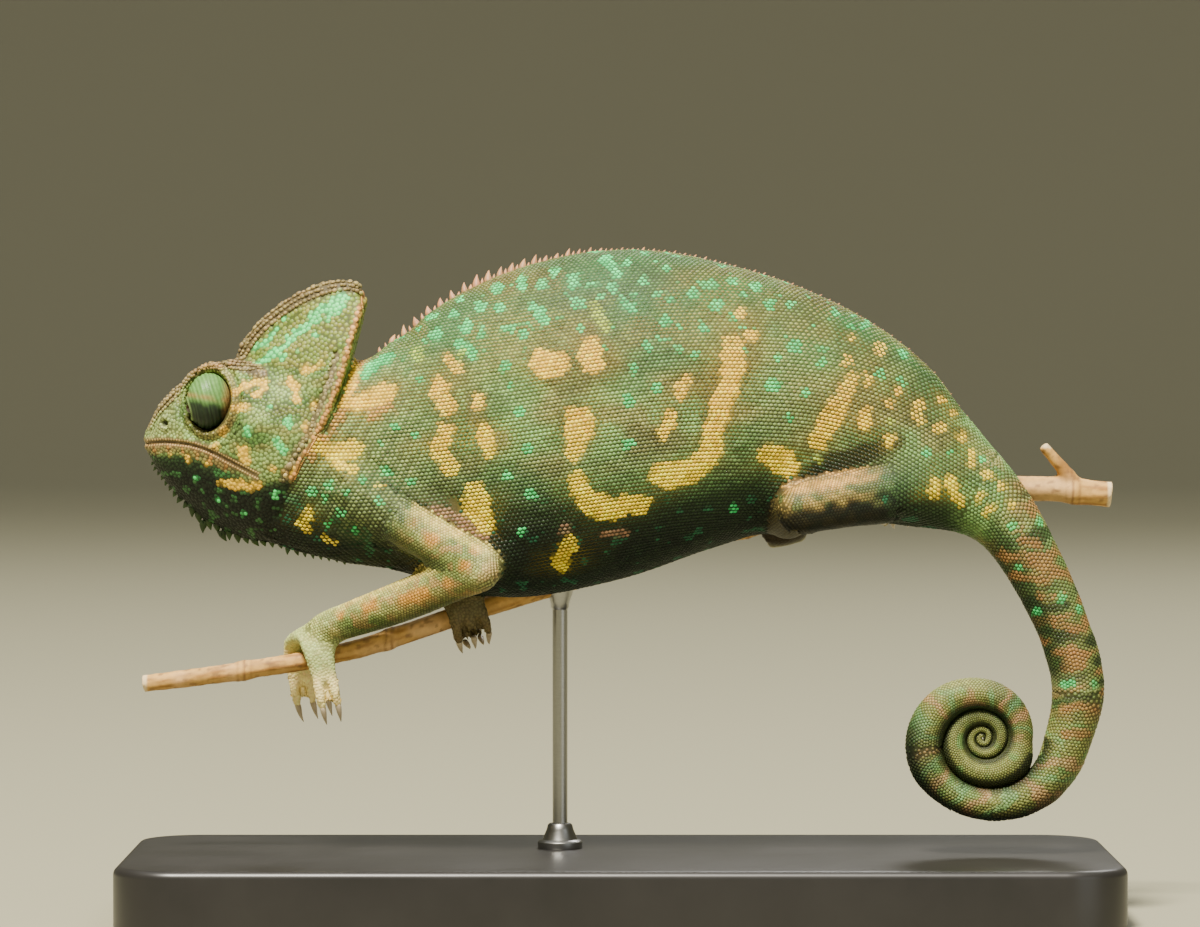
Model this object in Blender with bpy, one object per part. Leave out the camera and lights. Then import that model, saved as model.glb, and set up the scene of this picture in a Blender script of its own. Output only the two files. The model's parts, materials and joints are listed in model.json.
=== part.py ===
"""A veiled chameleon at life size, gripping a cut perch on a display stand.

Every length below is in millimetres and becomes metres in to_world(). The animal faces -X, its left
side faces -Y, and +Z is up. The origin is the middle of the stand base's underside.

The body is a row of cross-sections. Each one is told by the point on the back's outline, the point on
the belly's outline and the half-width, so the side outline can be read straight from BODY, HEAD and
TAIL_ROOT. Limbs, toes, claws and the perch are tubes along smooth paths. Neighbouring solids keep GAP.
"""
import math
from collections import namedtuple

import bmesh
import bpy
from mathutils import Vector

MM = 0.001
GAP = 0.3
TURN = 2 * math.pi

# ---------------------------------------------------------------- driving sizes
PERCH_RADIUS = (1.65, 2.45)     # at the thin front end and at the thick rear end
BASE_SIZE = (184, 76, 11)
BASE_CORNER = 12
BASE_BEVEL = 1.5
ROD_X = -11.2
ROD_RADIUS = 1.4
FERRULE_RADIUS = 4.2
FERRULE_HEIGHT = 4.5

BODY_SIDES = 18
HEAD_SIDES = 16
TAIL_SIDES = 9
LIMB_SIDES = 9
TOE_SIDES = 5
PAD_SIDES = 7
CLAW_SIDES = 4

COIL_CENTRE = (67.3, 32.7)      # x, z of the tail coil's middle
COIL_TURNS = 2.98
COIL_STEPS = 44
TAIL_Y = -4.6

EYE_CENTRE = (-76.2, 5.0, 95.0)  # y is measured from the medial plane
EYE_SEMI_AXES = (4.3, 4.7, 5.4)

# top and bottom are (x, z) on the outline; wide is the share of the height at which the section is
# widest; keel and breast are 1 for an elliptical end and more for a sharper one
Section = namedtuple("Section", "top bottom half wide keel breast", defaults=(0.45, 1.25, 1.0))

HEAD = [
    Section((-89.0, 88.9), (-89.0, 86.5), 0.8, 0.5, 1, 1),
    Section((-88.4, 91.2), (-88.6, 85.0), 2.0, 0.5, 1, 1),
    Section((-87.0, 93.4), (-87.4, 83.0), 3.1, 0.5, 0.9, 1),
    Section((-84.6, 95.6), (-85.2, 80.3), 4.3, 0.55, 0.85, 1.1),
    Section((-81.6, 98.9), (-82.3, 77.5), 5.5, 0.57, 0.8, 1.2),
    Section((-78.0, 101.7), (-79.3, 74.8), 6.5, 0.6, 0.75, 1.3),
    Section((-74.0, 102.8), (-76.4, 72.7), 7.4, 0.6, 0.75, 1.35),
    Section((-69.0, 102.4), (-73.6, 71.1), 8.4, 0.58, 0.8, 1.4),
    Section((-63.0, 102.0), (-71.0, 69.9), 9.2, 0.56, 0.8, 1.4),
    Section((-56.5, 101.8), (-68.8, 69.1), 9.5, 0.54, 0.8, 1.4),
    Section((-50.6, 101.6), (-67.2, 68.5), 9.0, 0.52, 0.85, 1.35),
]
CASQUE = [
    Section((-71.4, 103.0), (-71.6, 96.0), 0.9, 0.1, 1.3, 1),
    Section((-69.6, 106.6), (-69.0, 94.0), 3.2, 0.1, 1.5, 1),
    Section((-66.8, 110.0), (-66.0, 92.0), 5.2, 0.1, 1.6, 1),
    Section((-62.0, 113.9), (-62.0, 91.0), 6.9, 0.1, 1.7, 1),
    Section((-56.5, 116.7), (-58.4, 90.0), 7.9, 0.1, 1.75, 1),
    Section((-51.4, 117.7), (-56.4, 89.0), 8.5, 0.1, 1.8, 1),
    Section((-48.2, 117.0), (-55.4, 88.4), 8.8, 0.1, 1.85, 1),
    Section((-46.4, 114.2), (-54.8, 88.2), 8.9, 0.1, 1.8, 1),
]
BODY = [
    Section((-50.2, 101.4), (-66.9, 68.3), 7.6, 0.5, 1.1, 1.4),
    Section((-47.5, 103.1), (-60.5, 66.0), 7.9, 0.48, 1.2, 1.3),
    Section((-44.2, 105.2), (-53.6, 64.5), 8.5, 0.46, 1.3, 1.15),
    Section((-40.2, 108.0), (-46.8, 63.7), 9.3, 0.45, 1.35, 1.05),
    Section((-35.0, 111.8), (-39.5, 62.7), 10.8),
    Section((-29.0, 115.4), (-32.0, 60.5), 12.5),
    Section((-22.0, 118.6), (-24.0, 57.9), 14.4, 0.42),
    Section((-13.0, 121.4), (-15.0, 58.2), 16.3, 0.42),
    Section((-3.0, 123.1), (-5.0, 60.2), 17.4, 0.42),
    Section((8.0, 122.9), (5.0, 62.8), 17.5, 0.42),
    Section((19.0, 120.6), (14.0, 66.4), 16.6, 0.42),
    Section((30.0, 117.5), (22.0, 68.7), 14.9, 0.44),
    Section((40.0, 113.3), (30.0, 72.0), 12.6, 0.46),
    Section((49.0, 108.2), (38.0, 73.6), 10.6, 0.48),
    Section((57.0, 101.8), (46.0, 72.4), 9.2, 0.5, 1.2),
    Section((64.0, 94.0), (54.0, 71.0), 8.1, 0.5, 1.15),
    Section((70.3, 86.4), (60.8, 70.6), 7.2, 0.5, 1.1),
]
TAIL_ROOT = [
    BODY[-1],
    Section((75.2, 80.2), (65.6, 69.1), 6.4, 0.5, 1.1),
    Section((79.2, 73.4), (69.2, 65.0), 5.8, 0.5, 1.05),
    Section((82.6, 66.4), (72.4, 60.0), 5.5, 0.5, 1.05),
    Section((85.5, 60.0), (75.1, 55.0), 5.3, 0.5, 1),
    Section((87.8, 53.6), (77.4, 50.2), 5.1, 0.5, 1),
    Section((89.4, 47.6), (79.1, 45.6), 5.0, 0.5, 1),
    Section((90.2, 42.0), (79.9, 41.2), 4.9, 0.5, 1),
    Section((89.6, 37.0), (79.4, 37.3), 4.7, 0.5, 1),
]
# at each quarter turn of the coil, the radius of its centre line and its thickness
COIL = [(15.6, 9.4), (12.45, 7.1), (11.0, 6.8), (8.3, 5.6), (7.1, 4.4), (6.2, 4.0), (5.2, 3.5), (3.85, 2.65),
        (3.25, 2.2), (2.85, 1.85), (2.27, 1.5), (1.5, 1.4), (0.9, 1.25)]

NECK_ENDS_AT_X = -44.0          # measured on the centre line of BODY
TAIL_CUTS = (0.17, 0.36, 0.54, 0.76)  # shares of the tail's rings at which it is divided

# the perch's centre line: x, y, z
PERCH_LINE = [(-89, 3.5, 42.2), (-74, 2.6, 44.1), (-60, 2.4, 46.3), (-50, 2.8, 48.4), (-40, 3.8, 51.5),
              (-30, 5.2, 55.0), (-20, 7.0, 58.0), (-10, 8.6, 61.0), (0, 9.6, 64.0), (10, 9.9, 67.3),
              (20, 9.9, 70.4), (30, 9.7, 72.9), (40, 9.4, 75.0), (50, 9.0, 76.6), (60, 8.4, 77.8),
              (70, 7.6, 78.6), (80, 6.6, 78.6), (92, 6.0, 77.4)]
TWIG_LINE = [(85.5, 6.4, 78.4), (82.5, 5.4, 82.6), (79.0, 4.6, 86.6)]
TWIG_RADIUS = 1.15

# limb paths: shoulder or hip, joint, wrist or ankle, each x, y, z; then the radius at each
FORE_LEFT = [(-50, -8.5, 79.0), (-40, -11.2, 72.6), (-25.8, -14.6, 64.4), (-40, -8.4, 58.2), (-55.2, 0.6, 52.6)]
FORE_RIGHT = [(-50, 3.0, 80.0), (-37, 11.0, 81.5), (-21.5, 16.2, 82.5), (-26.5, 12.0, 71.0), (-29.4, 6.8, 60.6)]
HIND_LEFT = [(57, -7.0, 79.4), (45, -11.5, 77.6), (33.0, -15.6, 75.6), (31.2, -8.0, 73.2), (30.6, 0.4, 72.4)]
HIND_RIGHT = [(57, 1.5, 80.5), (46, 9.5, 84.5), (36.0, 14.8, 85.4), (45, 13.2, 83.6), (53.0, 9.6, 82.2)]
FORE_RADII = (4.7, 4.3, 4.1, 4.1, 3.3)
HIND_RADII = (6.6, 5.0, 4.5, 3.8, 3.1)

TOE_RADIUS = 1.35
TOE_PITCH = 2.5
PAD_MARGIN = 0.9                 # flesh of the palm beyond its outer toes
CLAW_RADIUS = 0.48
CLAW_LENGTH = 2.5

SPINE_BURIED = 0.9
BACK_SPINES = (-42.5, -6.0, 2.4, 1.6)      # first x, last x, first pitch, last pitch
BACK_SPINE_HEIGHT = (1.7, 0.7)
THROAT_SPINE_PITCH = 1.95
THROAT_SPINES = 12

COLOURS = {
    "skin": ((0.13, 0.17, 0.09, 1), 0.62),
    "eye": ((0.10, 0.14, 0.09, 1), 0.45),
    "claw": ((0.62, 0.52, 0.36, 1), 0.35),
    "bark": ((0.38, 0.20, 0.08, 1), 0.75),
    "base": ((0.035, 0.03, 0.028, 1), 0.35),
    "steel": ((0.45, 0.43, 0.40, 1), 0.3),
}


# ---------------------------------------------------------------- curves and rings
def spline(rows, t):
    """The Catmull-Rom curve through rows of numbers, at t counted in rows."""
    i = min(max(int(t), 0), len(rows) - 2)
    f = t - i
    before, a, b, after = (rows[min(max(k, 0), len(rows) - 1)] for k in (i - 1, i, i + 1, i + 2))
    return [
        0.5 * (2 * q + (r - p) * f + (2 * p - 5 * q + 4 * r - s) * f * f + (3 * q - p - 3 * r + s) * f ** 3)
        for p, q, r, s in zip(before, a, b, after)
    ]


def evenly(rows, count):
    """count rows read from the spline at even steps along its first numbers' path."""
    fine = [spline(rows, k * (len(rows) - 1) / 400) for k in range(401)]
    run = [0.0]
    for a, b in zip(fine, fine[1:]):
        run.append(run[-1] + math.dist(a[:3], b[:3]))
    found, j = [], 0
    for k in range(count):
        wanted = run[-1] * k / (count - 1)
        while j < 399 and run[j + 1] < wanted:
            j += 1
        f = (wanted - run[j]) / max(run[j + 1] - run[j], 1e-9)
        found.append([p + (q - p) * f for p, q in zip(fine[j], fine[j + 1])])
    return found


def medial(x):
    """The y of the animal's middle plane: straight along the trunk, and turning the head to +Y."""
    ahead = -46.0 - x
    return -3.0 + 0.19 * (ahead + math.sqrt(ahead * ahead + 50)) / 2


def as_row(section):
    (xt, zt), (xb, zb) = section.top, section.bottom
    return [(xt + xb) / 2, (zt + zb) / 2, xt - xb, zt - zb, section.half, section.wide, section.keel,
            section.breast]


def section_ring(row, sides, grow=0.0, middle=medial):
    """The ring of points of one section, GROWn outwards by that many millimetres."""
    x, z, dx, dz, half, wide, keel, breast = row
    height = math.hypot(dx, dz)
    ux, uz = dx / height, dz / height
    ring = []
    for k in range(sides):
        angle = TURN * (k + 0.5) / sides
        across, up = math.cos(angle), math.sin(angle)
        pinch = keel if up > 0 else breast
        side = math.copysign(abs(across) ** pinch, across) * (half + grow)
        reach = (height * (1 - wide) if up > 0 else height * wide) + grow
        along = (wide - 0.5) * height + up * reach
        px, pz = x + ux * along, z + uz * along
        ring.append(Vector((px, middle(px) + side, pz)))
    return ring


def frames(points):
    """(point, tangent, side, up) along a path, with as little twist as it can have."""
    points = [Vector(p[:3]) for p in points]
    side = Vector((0, 1, 0))
    found = []
    for i, point in enumerate(points):
        tangent = (points[min(i + 1, len(points) - 1)] - points[max(i - 1, 0)]).normalized()
        side = (side - tangent * side.dot(tangent)).normalized()
        found.append((point, tangent, side, side.cross(tangent)))
    return found


def tube_rings(path, radii, sides, grow=0.0, flat=1.0):
    """Round rings along a path; flat squeezes them along their second direction."""
    rings = []
    for (point, _, side, up), radius in zip(frames(path), radii):
        rings.append([
            point + side * math.cos(TURN * k / sides) * (radius + grow)
            + up * math.sin(TURN * k / sides) * (radius * flat + grow)
            for k in range(sides)
        ])
    return rings


def rounded_ends(path, radii, start=True, end=True):
    """Adds two closing stations at each named end, so that the tube ends in a dome."""
    path, radii = [Vector(p) for p in path], list(radii)
    if end:
        out = (path[-1] - path[-2]).normalized()
        r = radii[-1]
        path += [path[-1] + out * r * 0.6, path[-1] + out * r * 0.95]
        radii += [r * 0.8, r * 0.35]
    if start:
        out = (path[0] - path[1]).normalized()
        r = radii[0]
        path = [path[0] + out * r * 0.95, path[0] + out * r * 0.6] + path
        radii = [r * 0.35, r * 0.8] + radii
    return path, radii


# ---------------------------------------------------------------- objects
def to_world(point):
    return Vector(point) * MM


def material(name):
    found = bpy.data.materials.get(name)
    if found:
        return found
    colour, roughness = COLOURS[name]
    made = bpy.data.materials.new(name)
    made.use_nodes = True
    shader = made.node_tree.nodes["Principled BSDF"]
    shader.inputs["Base Color"].default_value = colour
    shader.inputs["Roughness"].default_value = roughness
    shader.inputs["Metallic"].default_value = 1.0 if name == "steel" else 0.0
    return made


def add_object(name, bm, finish):
    bmesh.ops.recalc_face_normals(bm, faces=bm.faces)
    mesh = bpy.data.meshes.new(name)
    bm.to_mesh(mesh)
    bm.free()
    mesh.materials.append(material(finish))
    made = bpy.data.objects.new(name, mesh)
    bpy.context.scene.collection.objects.link(made)
    return made


def solid(name, rings, finish="skin"):
    """The closed object through rings of points, with a flat cap at each end."""
    bm = bmesh.new()
    loops = [[bm.verts.new(to_world(p)) for p in ring] for ring in rings]
    for a, b in zip(loops, loops[1:]):
        for i in range(len(a)):
            bm.faces.new((a[i - 1], a[i], b[i], b[i - 1]))
    bm.faces.new(loops[0])
    bm.faces.new(loops[-1])
    return add_object(name, bm, finish)


def shape_with(target, operation, *tools, keep=False):
    """Cuts the tools from target, or joins them to it, and removes them unless keep is set."""
    for tool in tools:
        modifier = target.modifiers.new(operation.lower(), "BOOLEAN")
        modifier.operation = operation
        modifier.solver = "EXACT"
        modifier.object = tool
        graph = bpy.context.evaluated_depsgraph_get()
        result = bpy.data.meshes.new_from_object(target.evaluated_get(graph))
        target.modifiers.clear()
        target.data = result
        if not keep:
            bpy.data.objects.remove(tool)
    return target


def cut(target, *tools, keep=False):
    return shape_with(target, "DIFFERENCE", *tools, keep=keep)


def join(target, *tools):
    return shape_with(target, "UNION", *tools)


def loose_parts(source, finish="skin"):
    """The separate bodies of an object's mesh as new objects, largest first; the source goes."""
    bm = bmesh.new()
    bm.from_mesh(source.data)
    left, parts = set(bm.verts), []
    while left:
        island, edge = set(), [left.pop()]
        while edge:
            vertex = edge.pop()
            island.add(vertex)
            near = {e.other_vert(vertex) for e in vertex.link_edges} & left
            left -= near
            edge += near
        parts.append(island)
    made = []
    for island in sorted(parts, key=len, reverse=True):
        piece = bmesh.new()
        twin = {v: piece.verts.new(v.co) for v in sorted(island, key=lambda v: v.index)}
        for face in bm.faces:
            if face.verts[0] in island:
                piece.faces.new([twin[v] for v in face.verts])
        made.append(add_object("part", piece, finish))
    bm.free()
    bpy.data.objects.remove(source)
    return made


def keep_largest(obj, finish="skin"):
    """Drops the slivers a cut has left beside an object's main body."""
    name = obj.name
    obj.name = "cut"
    main_body, *slivers = loose_parts(obj, finish)
    for sliver in slivers:
        bpy.data.objects.remove(sliver)
    main_body.name = name
    return main_body


def slab(points, half_depth=30.0, thickness=GAP):
    """A thin wall that follows (x, z) points and runs through in y, to part a solid along them."""
    rings = []
    for i, (x, z) in enumerate(points):
        ahead, behind = points[min(i + 1, len(points) - 1)], points[max(i - 1, 0)]
        run = Vector((ahead[0] - behind[0], 0, ahead[1] - behind[1])).normalized()
        over = Vector((-run.z, 0, run.x)) * thickness / 2
        centre = Vector((x, 0, z))
        depth = Vector((0, half_depth, 0))
        rings.append([centre + over + depth, centre - over + depth, centre - over - depth, centre + over - depth])
    return solid("slab", rings)


def stop_short(rings, by=GAP):
    """The same rings with the last one drawn back, so that the next solid keeps the gap."""
    last, before = rings[-1], rings[-2]
    moved = [q + (p - q).normalized() * by for p, q in zip(before, last)]
    return list(rings[:-1]) + [moved]


# ---------------------------------------------------------------- head
def ellipsoid(name, side, grow=0.0, finish="eye"):
    x, y, z = EYE_CENTRE
    bm = bmesh.new()
    bmesh.ops.create_uvsphere(bm, u_segments=12, v_segments=7, radius=1.0)
    for v in bm.verts:
        px, py, pz = (c * (a + grow) for c, a in zip(v.co, EYE_SEMI_AXES))
        v.co = to_world((x + px, medial(x + px) + side * y + py, z + pz))
    return add_object(name, bm, finish)


def spine(point, direction, height, radius):
    """A four-sided spike standing on a point of the outline."""
    direction = direction.normalized()
    path = [point - direction * SPINE_BURIED, point, point + direction * height]
    return tube_rings(path, (radius, radius, 0.16), 4)


def throat_spines():
    """Cones down the middle of the throat, longest below the eye."""
    outline = [(s.bottom[0], 0, s.bottom[1]) for s in HEAD[3:] + BODY[1:3]]
    rows = evenly(outline, 60)
    length = sum(math.dist(a, b) for a, b in zip(rows, rows[1:]))
    for k in range(THROAT_SPINES):
        at = spline(rows, (0.8 + k * THROAT_SPINE_PITCH) / length * 59)
        ahead = spline(rows, (1.8 + k * THROAT_SPINE_PITCH) / length * 59)
        run = Vector(ahead) - Vector(at)
        down = Vector((run.z, 0, -run.x)) if run.x > 0 else Vector((-run.z, 0, run.x))
        lean = down.normalized() + run.normalized() * 0.35
        height = 0.8 + 1.5 * math.exp(-((k - 5) / 3.2) ** 2)
        yield spine(Vector((at[0], medial(at[0]), at[2])), lean, height, 0.62)


def make_head():
    rows = evenly([as_row(s) for s in HEAD], 13)
    whole = solid("whole_head", [section_ring(r, HEAD_SIDES) for r in rows])
    helmet = solid("helmet", [section_ring(r, HEAD_SIDES) for r in evenly([as_row(s) for s in CASQUE], 10)])
    join(whole, helmet)
    join(whole, *(solid("spine", rings) for rings in throat_spines() if rings[0][0].x < -68.4))
    cut(whole, body_cutter())
    whole = keep_largest(whole)
    cut(whole, *(ellipsoid("socket", side, GAP) for side in (-1, 1)))
    cut(whole, slab([(-94, 87.4), (-85, 87.2), (-80, 87.0), (-76, 86.3), (-73, 85.0), (-70, 83.0), (-67, 80.9),
                     (-62, 79.6), (-45, 78.6)]))
    cut(whole, slab([(-75, 108), (-71.6, 104.2), (-69.5, 102.0), (-66, 101.2), (-58, 100.8), (-40, 100.6)]))
    parts = loose_parts(whole)
    for part in parts:
        heights = [v.co.z for v in part.data.vertices]
        if min(heights) > 99 * MM:
            part.name = "casque"
        elif max(heights) > 95 * MM:
            part.name = "head"
        else:
            part.name = "lower_jaw"
    for side, name in ((-1, "eye_left"), (1, "eye_right")):
        ellipsoid(name, side)


# ---------------------------------------------------------------- trunk and tail
def back_spines(outline):
    first, last, pitch, last_pitch = BACK_SPINES
    x = first
    while x < last:
        share = (x - first) / (last - first)
        i = max(k for k in range(len(outline) - 1) if outline[k][0] <= x)
        a, b = Vector(outline[i]), Vector(outline[i + 1])
        point = a + (b - a) * (x - a.x) / (b.x - a.x)
        run = b - a
        height = BACK_SPINE_HEIGHT[0] + (BACK_SPINE_HEIGHT[1] - BACK_SPINE_HEIGHT[0]) * share
        lean = Vector((-run.z, 0, run.x)).normalized() - run.normalized() * 0.15
        yield spine(Vector((x, medial(x), point.z - 0.1)), lean, height, 0.5 + 0.25 * (1 - share))
        x += pitch + (last_pitch - pitch) * share


def make_trunk():
    rows = evenly([as_row(s) for s in BODY], 23)
    rings = [section_ring(r, BODY_SIDES) for r in rows]
    seam = min(range(len(rows)), key=lambda k: abs(rows[k][0] - NECK_ENDS_AT_X))
    neck = solid("neck", stop_short(rings[:seam + 1]))
    trunk = solid("trunk", stop_short(rings[seam:]))
    outline = [[r[0] + r[2] / 2, 0, r[1] + r[3] / 2] for r in evenly([as_row(s) for s in BODY], 60)]
    neck_end = max(v.co.x for v in neck.data.vertices) / MM
    for rings_of_spine in back_spines(outline):
        x = rings_of_spine[1][0].x
        if abs(x - neck_end) > 1.2:
            join(neck if x < neck_end else trunk, solid("spine", rings_of_spine))


def body_cutter():
    """The neck, trunk and tail root in one, grown by the gap, to trim what is set against them."""
    rows = evenly([as_row(s) for s in BODY + TAIL_ROOT[1:4]], 30)
    rings = [section_ring(r, BODY_SIDES, GAP) for r in rows]
    return solid("body_cutter", stop_short(rings[::-1], -GAP))


def tail_middle(x):
    """The tail's middle plane drifts from the trunk's to TAIL_Y."""
    share = min(max((x - 60) / 16, 0), 1)
    return medial(x) + (TAIL_Y - medial(x)) * share * share * (3 - 2 * share)


def tail_rings():
    """Rings down the tail's root and round its coil."""
    rows = evenly([as_row(s) for s in TAIL_ROOT], 15)
    rings = [section_ring(r, TAIL_SIDES, middle=tail_middle) for r in rows]
    for k in range(1, COIL_STEPS + 1):
        turns = COIL_TURNS * (k / COIL_STEPS) ** 1.06
        radius, thick = spline(COIL, turns * 4)
        angle = -TURN * turns
        out = Vector((math.cos(angle), 0, math.sin(angle)))
        centre = Vector((COIL_CENTRE[0], TAIL_Y, COIL_CENTRE[1])) + out * radius
        half_y = thick * 0.5
        ring = []
        for side in range(TAIL_SIDES):
            a = TURN * (side + 0.5) / TAIL_SIDES
            ring.append(centre + Vector((0, 1, 0)) * math.cos(a) * half_y + out * math.sin(a) * thick / 2)
        rings.append(ring)
    tip, before = rings[-1], rings[-2]
    centre = sum(tip, Vector()) / TAIL_SIDES
    onward = (centre - sum(before, Vector()) / TAIL_SIDES).normalized()
    rings.append([centre + (p - centre) * 0.55 + onward * 0.35 for p in tip])
    return rings


def make_tail():
    rings = tail_rings()
    cuts = [0, *(round(len(rings) * share) for share in TAIL_CUTS), len(rings) - 1]
    for k, (a, b) in enumerate(zip(cuts, cuts[1:])):
        last = k == len(cuts) - 2
        piece = rings[a:b + 1]
        solid(f"tail_{k + 1}", piece if last else stop_short(piece))


# ---------------------------------------------------------------- perch and stand
def perch_radius(x):
    share = (x - PERCH_LINE[0][0]) / (PERCH_LINE[-1][0] - PERCH_LINE[0][0])
    return PERCH_RADIUS[0] + (PERCH_RADIUS[1] - PERCH_RADIUS[0]) * share


def perch_rings(grow=0.0, sides=8, count=19):
    path = evenly(PERCH_LINE, count)
    return tube_rings(path, [perch_radius(p[0]) for p in path], sides, grow)


def perch_at(x):
    """(point, tangent, radius) of the perch at x."""
    path = evenly(PERCH_LINE, 90)
    i = max(k for k in range(len(path) - 1) if path[k][0] <= x)
    a, b = Vector(path[i]), Vector(path[i + 1])
    return a + (b - a) * (x - a.x) / (b.x - a.x), (b - a).normalized(), perch_radius(x)


def make_perch():
    perch = solid("perch", perch_rings(), "bark")
    twig = evenly(TWIG_LINE, 5)
    join(perch, solid("twig", tube_rings(twig, [TWIG_RADIUS * (1.25 - 0.09 * k) for k in range(5)], 8), "bark"))


def make_stand():
    length, width, thick = BASE_SIZE
    bm = bmesh.new()
    bmesh.ops.create_cube(bm, size=1.0)
    for v in bm.verts:
        v.co = to_world((v.co.x * length, v.co.y * width, (v.co.z + 0.5) * thick))
    upright = [e for e in bm.edges if abs(e.verts[0].co.z - e.verts[1].co.z) > MM]
    bmesh.ops.bevel(bm, geom=upright, offset=BASE_CORNER * MM, segments=4, profile=0.5, affect="EDGES")
    top = [e for e in bm.edges if all(v.co.z > (thick - 0.1) * MM for v in e.verts)]
    bmesh.ops.bevel(bm, geom=top, offset=BASE_BEVEL * MM, segments=2, profile=0.5, affect="EDGES")
    add_object("stand_base", bm, "base")

    point, _, radius = perch_at(ROD_X)
    saddle_low = point.z - radius - 3.0
    foot = thick + GAP
    ferrule = [(ROD_X, point.y, foot), (ROD_X, point.y, foot + 1.2), (ROD_X, point.y, foot + FERRULE_HEIGHT)]
    solid("stand_ferrule", tube_rings(ferrule, (FERRULE_RADIUS, FERRULE_RADIUS, ROD_RADIUS + 0.9), 20), "steel")
    rod = [(ROD_X, point.y, foot + FERRULE_HEIGHT + GAP), (ROD_X, point.y, saddle_low - GAP)]
    solid("stand_rod", tube_rings(rod, (ROD_RADIUS,) * 2, 16), "steel")
    saddle = [(ROD_X, point.y, saddle_low), (ROD_X, point.y, saddle_low + 1.4), (ROD_X, point.y, point.z - 0.5)]
    cradle = solid("stand_saddle", tube_rings(saddle, (ROD_RADIUS + 0.3, 2.2, 2.9), 16), "steel")
    cut(cradle, solid("perch_cutter", perch_rings(GAP)))


# ---------------------------------------------------------------- legs and feet
def limb_station(path, radii, first, last, count):
    rows = [list(p) + [r] for p, r in zip(path, radii)]
    steps = [first + (last - first) * k / (count - 1) for k in range(count)]
    found = [spline(rows, t) for t in steps]
    return [f[:3] for f in found], [f[3] for f in found]


def upper_limb(name, path, radii, grow=0.0):
    """The segment from inside the body to the elbow or knee, as straight as the real bone."""
    straight = [Vector(path[0]), Vector(path[1]), Vector(path[2])]
    points, sizes = limb_station(straight, radii[:3], 0, 2, 5)
    points, sizes = rounded_ends(points, [r + grow for r in sizes])
    return solid(name, tube_rings(points, sizes, LIMB_SIDES))


def lower_limb(name, path, radii, grow=0.0):
    points, sizes = limb_station(path[2:], radii[2:], 0, 2, 6)
    points, sizes = rounded_ends(points, [r + grow for r in sizes])
    return solid(name, tube_rings(points, sizes, LIMB_SIDES))


def grip_path(grip, side, reach, skew=0.0):
    """Points of a toe bundle: from above the perch, down past one side of it, to the toe tips.

    Angles are measured round the perch from the direction the leg comes from.
    """
    point, approach, across, tangent, radius = grip
    start = -20 if side > 0 else -13
    curl = 168 - 6 * min(reach, 3)
    stops = [(start, radius + 3.6), (38, radius + 3.0), (74, radius + 2.2), (108, radius + 2.0 + reach * 0.12),
             ((108 + curl) / 2, radius + 1.9 + reach * 0.42), (curl, radius + 1.9 + reach)]
    return [
        point + tangent * skew * min(k / 2, 1)
        + (approach * math.cos(math.radians(a)) + across * side * math.sin(math.radians(a))) * r
        for k, (a, r) in enumerate(stops)
    ]


def bundle(grip, side, toes, reach, skew, grow=0.0):
    """A flat fleshy pad, toes abreast, over the first two thirds of the grip."""
    tangent = grip[3]
    path = evenly([list(p) for p in grip_path(grip, side, reach, skew)], 24)[:16:3]
    half = toes * TOE_PITCH / 2 + PAD_MARGIN
    rings = []
    for i, (point, run, _, _) in enumerate(frames(path)):
        out = tangent.cross(run).normalized()
        swell = (0.86, 1.16, 1.18, 1.04, 0.92, 0.8)[i]
        thick = (2.1, 1.9, 1.7, 1.55, 1.45, 1.2)[i]
        rings.append([
            point + tangent * math.cos(TURN * k / PAD_SIDES) * (half * swell + grow)
            + out * math.sin(TURN * k / PAD_SIDES) * (thick + grow)
            for k in range(PAD_SIDES)
        ])
    return rings


def toe_tracks(grip, side, toes, reach, skew):
    """For each toe of a bundle, its path from inside the pad to its tip."""
    path = evenly([list(p) for p in grip_path(grip, side, reach, skew)], 24)
    for n in range(toes):
        slot = n - (toes - 1) / 2
        track = [Vector(p) + grip[3] * slot * (TOE_PITCH + 0.015 * k) for k, p in enumerate(path)]
        yield track[11:]


def make_foot(name, path, radii, x, approach_deg, toes_near, toes_far, reach, skews, body):
    """One didactyl foot: two pads that close on the perch from either side, five toes and their claws."""
    point, tangent, radius = perch_at(x)
    a = math.radians(approach_deg)
    approach = Vector((0, math.cos(a), math.sin(a)))
    approach = (approach - tangent * approach.dot(tangent)).normalized()
    across = tangent.cross(approach)
    grip = (point, approach, across, tangent, radius)
    near = 1 if across.y < 0 else -1
    foot, claws = None, []
    for side, toes, skew in ((near, toes_near, skews[0]), (-near, toes_far, skews[1])):
        pad = solid("pad", bundle(grip, side, toes, reach, skew))
        foot = pad if foot is None else join(foot, pad)
        for track in toe_tracks(grip, side, toes, reach, skew):
            sizes = [TOE_RADIUS * (1 - 0.018 * k) for k in range(len(track))]
            points, sizes = rounded_ends(track[::3], sizes[::3], start=False)
            foot = join(foot, solid("toe", tube_rings(points, sizes, TOE_SIDES)))
            claws.append((points[-1], (points[-1] - points[-3]).normalized(), point))
    foot.name = name
    cut(foot, lower_limb("shin", path, radii, GAP), upper_limb("thigh", path, radii, GAP))
    cut(foot, solid("perch_cutter", perch_rings(GAP)))
    cut(foot, body, keep=True)
    keep_largest(foot)
    for n, (tip, onward, inward) in enumerate(claws):
        curl = ((inward - tip).normalized() - onward * (inward - tip).normalized().dot(onward)) * 0.35
        start = tip + onward * (GAP + 0.05)
        points = [start + (onward + curl * s) * CLAW_LENGTH * s for s in (0, 0.35, 0.7, 1)]
        sizes = [CLAW_RADIUS * s for s in (1, 1.0, 0.7, 0.3)]
        solid(f"claw_{name[5:]}_{n + 1}", tube_rings(points, sizes, CLAW_SIDES), "claw")


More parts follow.
